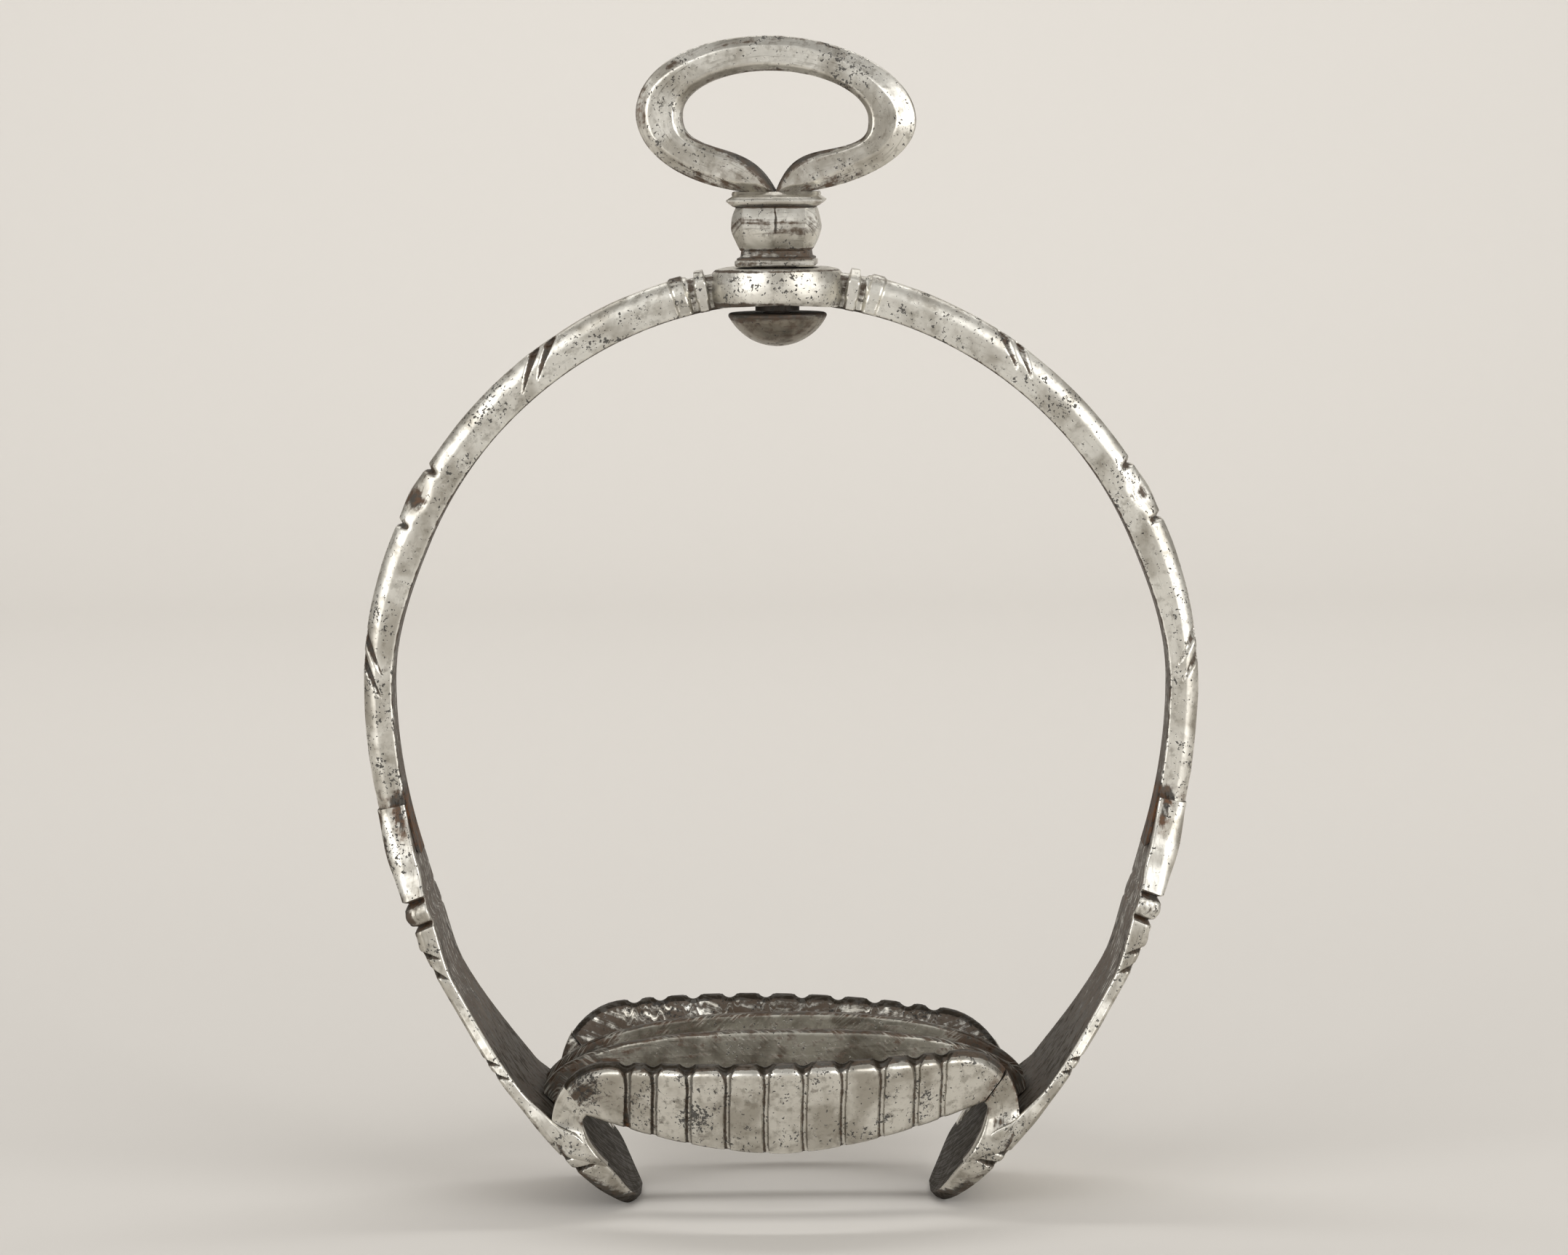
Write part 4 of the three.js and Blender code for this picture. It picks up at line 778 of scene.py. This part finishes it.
def neck():
    """The square neck: a rectangle with its corners cut off, whose half width, half depth and chamfer
    follow curves of height, from the base plate through the swelling bulb to the pointed collar. The
    bar's seam is a fine crack down the front and back of the bulb."""
    t = np.linspace(0, 1, 25)
    swell = np.sin(math.pi * (0.04 + 0.8 * t)) ** 0.9
    bulb_chamfer = 1.0 + 1.3 * swell * (1 - 0.45 * t)
    small = 0.5
    # (height, half width, half depth, chamfer)
    base = [(BASE_Z, 6.3, 5.6, small), (BASE_Z + 0.25, 6.5, 5.8, small), (WAIST_Z - 0.55, 6.5, 5.8, small),
            (WAIST_Z - 0.35, 6.2, 5.5, small), (WAIST_Z - 0.1, 6.2, 5.5, small),
            (WAIST_Z + 0.15, 5.7, 4.9, small), (BULB_Z - 0.25, 5.6, 4.8, small)]
    bulb = np.stack([BULB_Z + t * BULB_HEIGHT, 5.65 + 1.5 * swell, 4.8 + 1.6 * swell, bulb_chamfer], 1)
    collar = [(COLLAR_Z + 0.2, 6.9, 5.1, small), (COLLAR_Z + 0.55, 7.4, 5.5, small),
              (COLLAR_Z + 1.0, 7.9, 5.75, 0.3), (COLLAR_Z + 1.25, 7.9, 5.75, 0.3),
              (NECK_TOP_Z - 0.55, 7.3, 5.3, small), (NECK_TOP_Z - 0.35, 7.0, 4.6, small),
              (NECK_TOP_Z - 0.1, 7.2, 3.9, small), (NECK_TOP_Z + 0.35, 7.1, 3.3, small)]
    rows = np.concatenate([base, bulb, collar])
    z = np.unique(np.concatenate([rows[:, 0], np.arange(BASE_Z, NECK_TOP_Z + 0.3, 0.16)]))
    wide, deep, chamfer = (np.interp(z, rows[:, 0], rows[:, k])[:, None] for k in (1, 2, 3))
    across = np.linspace(-1, 1, 41)
    front = np.sign(across) * np.abs(across) ** 1.8
    cut = np.linspace(0, 1, 7)[1:-1]
    flank = np.linspace(-1, 1, 12)
    x = [(wide - chamfer) * front, wide - chamfer * (1 - cut), wide + 0 * flank, wide - chamfer * cut]
    y = [-deep + 0 * front, -deep + chamfer * cut, (deep - chamfer) * flank, deep - chamfer * (1 - cut)]
    x, y = np.concatenate(x + [-part for part in x], 1), np.concatenate(y + [-part for part in y], 1)
    z = z[:, None]
    x = x + 0.10 * wander(z + np.sign(x) * 3, 7, 3) * (np.abs(x) / wide)
    points = np.stack([x, y, z + 0 * x], axis=-1)

    off_seam = x - 0.25 - 0.12 * wander(z, 5, 2)
    crack = np.exp(-(off_seam / 0.16) ** 2) * (np.abs(y) > deep - 0.05) * band(z, BULB_Z + 4.9, 4.6, 0.8)
    waist = band(z, (WAIST_Z + BULB_Z) / 2, BULB_Z - WAIST_Z + 0.9, 0.3)
    # painted shade: a dark line under the collar's overhang
    shade_under_collar = band(z, COLLAR_Z + 0.1, 0.8, 0.3)
    collar_corner = hump(np.abs(x), 7.2, 2.2) * band(z, COLLAR_Z + 0.4, 1.6, 0.5)
    streaky = 0.42 * band(z, BULB_Z + 3.9, 4.6, 1.6) + 0.35 * band(z, BASE_Z + 0.7, 1.6, 0.4)
    return shell(points, along=x, around=z + y, grime_and_shade=crack + 0.6 * waist + 0.75 * shade_under_collar + streaky,
                 copper=0.12 * waist + 0.9 * collar_corner, wear_and_highlight=0.4 * band(z, COLLAR_Z + 1.1, 0.8, 0.3))


def turned(profile, count, rows, passes=0):
    """A solid of revolution about the swivel's axis: the profile's radii and heights, divided evenly,
    times the cosine and sine of the turn."""
    profile = np.array(profile, float)
    at = np.concatenate([[0], np.cumsum(np.linalg.norm(np.diff(profile, axis=0), axis=1))])
    wanted = np.linspace(0, at[-1], rows)
    r, z = (np.interp(wanted, at, profile[:, k]) for k in (0, 1))
    for _ in range(passes):
        r[1:-1] = (r[:-2] + 2 * r[1:-1] + r[2:]) / 4
        z[1:-1] = (z[:-2] + 2 * z[1:-1] + z[2:]) / 4
    angle = np.linspace(0, TAU, count, endpoint=False)
    return np.stack([r[:, None] * np.cos(angle), r[:, None] * np.sin(angle), z[:, None] + 0 * angle], axis=-1)


def shank():
    """The round shank from inside the neck down through the boss, and its tenon in the button: radii
    and heights turned about the swivel's axis."""
    top, shoulder = BASE_Z + 2, BUTTON_TOP_Z + SEAM_GAP
    tenon_end = shoulder - TENON_LENGTH
    points = turned([(0.05, top), (SHANK_RADIUS, top), (SHANK_RADIUS, shoulder), (TENON_RADIUS, shoulder),
                     (TENON_RADIUS, tenon_end), (0.05, tenon_end)], 64, 70)
    return shell(points, along=points[..., 2], around=round_length(points), grime_and_shade=0.85, copper=0.0, wear_and_highlight=0.0)


def button():
    """The riveted button: a thin rim over a spherical cap, slightly out of round from the hammer, and
    the blind hole for the tenon."""
    height = BUTTON_HEIGHT - BUTTON_RIM
    radius = (BUTTON_RADIUS ** 2 + height ** 2) / (2 * height)
    turn = np.linspace(math.asin(BUTTON_RADIUS / radius), 0.004, 40)
    lowest = BUTTON_TOP_Z - BUTTON_HEIGHT
    dome = np.stack([radius * np.sin(turn), lowest + radius * (1 - np.cos(turn))], axis=1)
    hole_radius, hole_end = TENON_RADIUS + SEAM_GAP, BUTTON_TOP_Z - TENON_LENGTH
    hole = [(0.02, hole_end), (hole_radius, hole_end), (hole_radius, BUTTON_TOP_Z)]
    rim = [(BUTTON_RADIUS - 0.5, BUTTON_TOP_Z), (BUTTON_RADIUS - 0.15, BUTTON_TOP_Z - 0.12)]
    points = turned(np.concatenate([hole, rim, dome]), 144, 130, 1)
    x, y, z = np.moveaxis(points, -1, 0)
    angle = np.arctan2(y, x)
    outside = (z < BUTTON_TOP_Z - 0.3) & (np.hypot(x, y) > 2.6)
    uneven = 1 + 0.008 * np.sin(3 * angle + 1) + 0.005 * np.sin(5 * angle + z)
    points[..., :2] *= np.where(outside, uneven, 1)[..., None]
    grime_and_shade = 0.3 + 0.4 * ease(z, BUTTON_TOP_Z - 1.4, BUTTON_TOP_Z - 0.4)
    return shell(points, along=angle * 6, around=z, grime_and_shade=grime_and_shade, copper=0.2,
                 wear_and_highlight=band(z, BUTTON_TOP_Z - 0.5, 0.7, 0.2) * 0.5)


# Materials

def colour(code):
    """An sRGB hex colour as linear red, green, blue and alpha."""
    srgb = [int(code[i:i + 2], 16) / 255 for i in (1, 3, 5)]
    return [v / 12.92 if v <= 0.04045 else ((v + 0.055) / 1.055) ** 2.4 for v in srgb] + [1.0]


def add(tree, kind, inputs=(), output=0, **settings):
    """Adds a shader node and gives one of its output sockets. Settings are the node's properties.
    Inputs, in order or by name or number, are values or the sockets that are linked to them."""
    node = tree.nodes.new("ShaderNode" + kind)
    for key, value in settings.items():
        setattr(node, key, value)
    for key, value in (inputs if isinstance(inputs, dict) else dict(enumerate(inputs))).items():
        if isinstance(value, bpy.types.NodeSocket):
            tree.links.new(value, node.inputs[key])
        else:
            node.inputs[key].default_value = value
    return node.outputs[output] if node.outputs else None


def worn_tin(name, bright, mid, worn, dirt_and_shade, brown, pitted, gloss, streaked=0.5, hatched=0.0, patches=()):
    """Forged iron that was once tinned, from the base up:
    a satin silvery skin in two close tones; grey where it has rubbed thin; file and wear streaks
    along the bar; bright rubbed edges, with painted highlights in the same mark; brown-black dirt and
    rust in hollows and on inner faces, and in the same tones painted shade and painted dark
    reflections; copper-red braze at the joints; and fine black corrosion pits in clusters. Pits and
    dirt, and the painted shade with them, are rough and barely metallic.
    The pits are drawn about twice as coarse as the finest real ones, which no pixel would show."""
    material = bpy.data.materials.new(name)
    material.use_nodes = True
    tree = material.node_tree
    tree.nodes.clear()
    where = add(tree, "TexCoord", output="Object")
    along, around, grime_and_shade, copper, wear_and_highlight = (add(tree, "Attribute", output="Fac", attribute_name=mark)
                                          for mark in MARKS)

    # Places in millimetres along and round the bar, on which a grain is drawn out along the bar
    lengthwise, slightly = (add(tree, "CombineXYZ", (add(tree, "Math", (along, share), operation="MULTIPLY"),
                                                     around)) for share in (0.07, 0.12))

    # Patterns: (place, size of the grain in the place's own unit, detail, roughness, distortion)
    cloud, cluster, mottle, grain, specks, blots, bloom, dents, streaks, long_streaks = (
        add(tree, "TexNoise", {"Vector": place, "Scale": 1 / size, "Detail": detail, "Roughness": rough,
                               "Distortion": warp})
        for place, size, detail, rough, warp in (
            (where, 8.0 * MM, 4, 0.55, 0.4),
            (where, 5.0 * MM, 3, 0.6, 0.3),
            (where, 1.5 * MM, 4, 0.62, 0),
            (where, 0.42 * MM, 2, 0.55, 0),
            (where, 0.55 * MM, 2, 0.6, 0),
            (where, 1.25 * MM, 3, 0.65, 0),
            (where, 2.6 * MM, 4, 0.7, 0),
            (where, 4.5 * MM, 2, 0.5, 0),
            (lengthwise, 0.5, 3, 0.6, 0),
            (slightly, 1.0, 4, 0.65, 0),
        ))

    # Where a pattern has risen from its first value to its second: 0 below, 1 above, smooth between
    light, cloudy, rubbed, braze_spots, filed, scored, here, crowd, bloomed, broken_up = (
        add(tree, "MapRange", (pattern, low, high), interpolation_type="SMOOTHSTEP")
        for pattern, low, high in (
            (cloud, 0.38, 0.6),
            (cloud, 0.5, 0.62),
            (mottle, 0.5, 0.68),
            (mottle, 0.4, 0.6),
            (streaks, 0.55, 0.68),
            (streaks, 0.63, 0.7),
            (cluster, 0.45, 0.6),
            (cluster, 0.44, 0.66),
            (bloom, 0.63, 0.72),
            (grain, 0.38, 0.5),
        ))

    # Pits crowd in clusters, on rubbed edges and in the patches (middle, reach, strength)
    on_edges = add(tree, "Math", (wear_and_highlight, 0.6), operation="MULTIPLY")
    crowd = add(tree, "Math", (crowd, on_edges), operation="MAXIMUM")
    for middle, reach, strength in patches:
        middle = [v * MM for v in middle]
        away = add(tree, "VectorMath", (where, middle), output="Value", operation="DISTANCE")
        near = add(tree, "MapRange", (away, reach * MM, reach * 0.35 * MM), interpolation_type="SMOOTHSTEP")
        near = add(tree, "Math", (near, strength), operation="MULTIPLY")
        crowd = add(tree, "Math", (crowd, near), operation="MAXIMUM")
    black = []
    for pattern, line in ((specks, 0.7 - 0.03 * pitted), (blots, 0.705)):
        line = add(tree, "Math", (crowd, -0.11 * pitted, line), operation="MULTIPLY_ADD")
        over = add(tree, "Math", (pattern, line), operation="SUBTRACT")
        black.append(add(tree, "MapRange", (over, 0.0, 0.025), interpolation_type="SMOOTHSTEP"))
    blot = add(tree, "Math", (black[1], broken_up), operation="MULTIPLY")
    pit = add(tree, "Math", (black[0], blot), operation="MAXIMUM")

    # Dirt and painted shade: where they lie, mottled and streaked, browner in places and darkest in the
    # depths
    mottled = add(tree, "Math", (mottle, 0.4), operation="MULTIPLY")
    patchy = add(tree, "Math", (long_streaks, 0.6, mottled), operation="MULTIPLY_ADD")
    lean_out = add(tree, "Math", (patchy, 0.5), operation="SUBTRACT")
    settled_and_shaded = add(tree, "Math", (grime_and_shade, 0.95, 0.375), operation="MULTIPLY_ADD")
    settled_and_shaded = add(tree, "Math", (lean_out, 1.8, settled_and_shaded), operation="MULTIPLY_ADD")
    soiled_and_shaded = add(tree, "MapRange", (settled_and_shaded, 0.65, 0.95), interpolation_type="SMOOTHSTEP")
    rusty = add(tree, "MapRange", (patchy, 0.43, 0.55), interpolation_type="SMOOTHSTEP")
    rusty = add(tree, "Math", (rusty, 0.75), operation="MULTIPLY")
    dirt_and_shade_tone = add(tree, "Mix", {0: rusty, 6: colour(dirt_and_shade), 7: colour(brown)}, output=2, data_type="RGBA")
    deep = add(tree, "Math", (lean_out, 1.6, grime_and_shade), operation="MULTIPLY_ADD")
    deep = add(tree, "MapRange", (deep, 0.8, 1.06), interpolation_type="SMOOTHSTEP")

    # Skin, and what lies over it
    scratch = add(tree, "Math", (scored, here), operation="MULTIPLY")
    rust_bloom = add(tree, "Math", (bloomed, cloudy), operation="MULTIPLY")
    brazed = add(tree, "Math", (copper, braze_spots), operation="MULTIPLY")
    layers = [
        (light, 1.0, colour(bright)),
        (rubbed, 0.5, colour(worn)),
        (filed, 0.45 * streaked, colour(worn)),
        # rubbed edges, and painted highlights in the walls' grooves
        (wear_and_highlight, 0.75, colour(bright)),
        (scratch, 0.6 * streaked, colour(dirt_and_shade)),
        # dirt and painted shade, and below it their darkest depths
        (soiled_and_shaded, 0.93, dirt_and_shade_tone),
        (deep, 0.9, colour("#1e1910")),
        (rust_bloom, 0.5, colour(brown)),
        (brazed, 0.8, colour("#65462f")),
        (pit, 0.92, colour("#2c2925")),
    ]

    # Relief: dents from the hammer, and what each pattern adds to them
    gritty = add(tree, "Math", (soiled_and_shaded, grain), operation="MULTIPLY")
    relief = [(dents, 1.3), (mottle, 0.34), (pit, -0.3), (streaks, 0.12 * streaked), (gritty, 0.25)]
    if hatched:  # fine strokes that lean across the bar, in spots
        drawn_out = add(tree, "Math", (along, 0.16), operation="MULTIPLY")
        leaning = add(tree, "Math", (along, 0.9, around), operation="MULTIPLY_ADD")
        leaning = add(tree, "CombineXYZ", (drawn_out, leaning))
        hatch = add(tree, "TexNoise", {"Vector": leaning, "Scale": 1 / 0.5, "Detail": 2, "Roughness": 0.55})
        spots = add(tree, "TexNoise", {"Vector": where, "Scale": 1 / (5.0 * MM), "Detail": 2,
                                       "Roughness": 0.5})
        stroke = add(tree, "MapRange", (hatch, 0.5, 0.6), interpolation_type="SMOOTHSTEP")
        spots = add(tree, "MapRange", (spots, 0.4, 0.56), interpolation_type="SMOOTHSTEP")
        layers.append((add(tree, "Math", (stroke, spots), operation="MULTIPLY"), hatched, colour(bright)))
        relief.append((hatch, 0.3 * hatched))

    skin = colour(mid)
    for cover, strength, tint in layers:
        share = add(tree, "Math", (cover, strength), operation="MULTIPLY")
        skin = add(tree, "Mix", {0: share, 6: skin, 7: tint}, output=2, data_type="RGBA")
    height = 0.0
    for pattern, strength in relief:
        height = add(tree, "Math", (pattern, strength, height), operation="MULTIPLY_ADD")
    bump = add(tree, "Bump", {"Height": height, "Strength": 0.5, "Distance": 0.2 * MM})

    dull = add(tree, "Math", (soiled_and_shaded, 0.85), operation="MULTIPLY")
    dull = add(tree, "Math", (dull, pit), operation="MAXIMUM")
    rough = add(tree, "Math", (dull, 0.26, gloss - 0.1), operation="MULTIPLY_ADD")
    rough = add(tree, "Math", (mottle, 0.14, rough), operation="MULTIPLY_ADD")
    rough = add(tree, "Math", (grain, 0.1, rough), operation="MULTIPLY_ADD", use_clamp=True)
    metal = add(tree, "Math", (dull, -0.72, 1.0), operation="MULTIPLY_ADD")
    metal = add(tree, "Math", (deep, -0.55, metal), operation="MULTIPLY_ADD", use_clamp=True)
    gleam = add(tree, "Math", (deep, -0.4, 0.5), operation="MULTIPLY_ADD")
    shader = add(tree, "BsdfPrincipled", {"Base Color": skin, "Metallic": metal, "Roughness": rough,
                                          "Specular IOR Level": gleam, "Normal": bump})
    add(tree, "OutputMaterial", {"Surface": shader})
    return material


# Its dirt tones paint shade as well as dirt
SILVER = dict(bright="#dddad1", mid="#b0aba0", worn="#7e786c", dirt_and_shade="#272118", brown="#473421")
# Tinned iron, pitted all over but smooth and bright where it is handled
tin_arch = worn_tin("worn_tin_arch", pitted=1.0, gloss=0.4, streaked=0.4, **SILVER)
tin_plates = worn_tin("worn_tin_side_plates", pitted=0.9, gloss=0.38, streaked=0.8, patches=[
    ((-66.0, -7.0, 60.0), 6.5, 1.1), ((-36.0, -19.0, 13.0), 5.5, 1.0),
    ((33.0, -18.0, 9.0), 5.0, 0.9), ((63.0, -9.0, 50.0), 5.0, 0.7)], **SILVER)
tin_walls = worn_tin("worn_tin_fluted_walls", pitted=1.0, gloss=0.35, streaked=0.3, patches=[
    ((-15.5, -29.0, 18.0), 5.5, 2.2), ((-33.5, -22.0, 24.0), 5.5, 1.6)], **SILVER)
tin_eye = worn_tin("handled_tin_eye", pitted=0.8, gloss=0.36, streaked=0.9, patches=[
    ((12.5, -3.0, 188.5), 6.0, 1.3), ((-13.0, -3.0, 175.5), 5.0, 0.8)], **SILVER)
# Iron filed across, with olive-grey skin between brown flecks
iron_rails = worn_tin("file_hatched_iron_rails", pitted=0.5, gloss=0.36, streaked=0.7, hatched=0.4,
                      bright="#c6c3b7", mid="#8a857a", worn="#5f5a50", dirt_and_shade="#2f2920", brown="#4b3625")
# Dark iron with a dull patina
black_button = worn_tin("blackened_iron_button", pitted=0.7, gloss=0.32,
                        bright="#8f897d", mid="#5f5a50", worn="#47423a", dirt_and_shade="#2a2621", brown="#45372a")


# The pieces

make_piece("arch_left", "bow_arch", [arch_limb(-1)], "bow", tin_arch)
make_piece("arch_right", "bow_arch", [arch_limb(1)], "bow", tin_arch)
make_piece("crown_boss", "bow_arch", [boss()], "bow", tin_arch)
make_piece("side_plate_left", "cheek_left", [plate(-1), horn(-1, -1), horn(-1, 1)], "bow", tin_plates)
make_piece("side_plate_right", "cheek_right", [plate(1), horn(1, -1), horn(1, 1)], "bow", tin_plates)
make_piece("fluted_wall_front", "tread_front_wall", [fluted_wall(-1)], "bow", tin_walls)
make_piece("fluted_wall_back", "tread_back_wall", [fluted_wall(1)], "bow", tin_walls)
make_piece("inner_rail_front", "tread_front_rail", [rail(-1)], "bow", iron_rails)
make_piece("inner_rail_rear", "tread_rear_rail", [rail(1)], "bow", iron_rails)
make_piece("strap_eye", "swivel_eye", [eye_loop(), neck(), shank()], "swivel", tin_eye, turn=REST_TURN)
make_piece("domed_button", "swivel_button", [button()], "swivel", black_button, turn=REST_TURN)


# Studio

def sweep():
    """Floor and backdrop in one sheet of matt pale paper, which gives the eye a plain ground and keeps
    the stirrup's shadow: level, then a quarter circle, then upright."""
    half_width, front, bend_start, bend, top = 2.6, -2.6, 0.9, 0.6, 2.2
    turn = np.linspace(0, math.pi / 2, 32)
    y = np.concatenate([[front], bend_start + bend * np.sin(turn), [bend_start + bend]])[:, None]
    z = np.concatenate([[0.0], bend - bend * np.cos(turn), [top]])[:, None]
    x = np.array([-half_width, half_width])
    points = np.stack([x + 0 * y, y + 0 * x, z + 0 * x], axis=-1).reshape(-1, 3)
    row = 2 * np.arange(len(y) - 1)
    mesh = bpy.data.meshes.new("sweep_shape")
    mesh.from_pydata(points.tolist(), [], np.stack([row, row + 1, row + 3, row + 2], axis=1).tolist())
    mesh.shade_smooth()
    paper = bpy.data.materials.new("pale_paper")
    paper.use_nodes = True
    tree = paper.node_tree
    tree.nodes.clear()
    shader = add(tree, "BsdfPrincipled", {"Base Color": colour("#d3cfc9"), "Roughness": 0.9,
                                          "Specular IOR Level": 0.1})
    add(tree, "OutputMaterial", {"Surface": shader})
    mesh.materials.append(paper)
    floor = bpy.data.objects.new("floor_sweep", mesh)
    bpy.context.scene.collection.objects.link(floor)


def lamp(name, place, aim, size, watts):
    """A soft rectangular lamp that faces a point."""
    data = bpy.data.lights.new(name, "AREA")
    data.shape = "RECTANGLE"
    data.size, data.size_y = size
    data.energy = watts
    lamp_object = bpy.data.objects.new(name, data)
    facing = (Vector(aim) - Vector(place)).to_track_quat("-Z", "Y").to_matrix().to_4x4()
    lamp_object.matrix_world = Matrix.Translation(place) @ facing
    bpy.context.scene.collection.objects.link(lamp_object)


sweep()
MIDDLE_OF_BOW = (0, 0, 0.08)
lamp("soft_left", (-0.8, -0.8, 0.45), MIDDLE_OF_BOW, (0.9, 1.0), watts=9)
lamp("soft_right", (0.85, -0.75, 0.4), MIDDLE_OF_BOW, (0.9, 1.0), watts=11)
lamp("soft_above_backdrop", (0, 0.45, 1.2), (0, 1.3, 0.3), (1.8, 0.4), watts=12)

world = bpy.data.worlds.new("studio_air")
bpy.context.scene.world = world
world.use_nodes = True
world.node_tree.nodes.clear()
air = add(world.node_tree, "Background", {"Color": colour("#efece8"), "Strength": 0.42})
add(world.node_tree, "OutputWorld", {"Surface": air})

# Camera: its place, pitch and focal length are those of the photograph, worked out from the stirrup
CAMERA_ASIDE, CAMERA_DISTANCE, CAMERA_HEIGHT = 0.0006, 0.742, 0.1821
PITCH, ROLL = math.radians(6.6), math.radians(-0.55)
FOCAL_PIXELS, FRAME_PIXELS = 6153, 2156
SENSOR_WIDTH = 36

lens = bpy.data.cameras.new("photo_camera")
lens.sensor_width = SENSOR_WIDTH
lens.lens = SENSOR_WIDTH * FOCAL_PIXELS / FRAME_PIXELS
lens.clip_start = 0.01
camera = bpy.data.objects.new("photo_camera", lens)
camera.matrix_world = (Matrix.Translation((CAMERA_ASIDE, -CAMERA_DISTANCE, CAMERA_HEIGHT))
                       @ Matrix.Rotation(math.pi / 2 - PITCH, 4, "X") @ Matrix.Rotation(ROLL, 4, "Z"))
bpy.context.scene.collection.objects.link(camera)
bpy.context.scene.camera = camera
bpy.context.scene.view_settings.view_transform = "Standard"
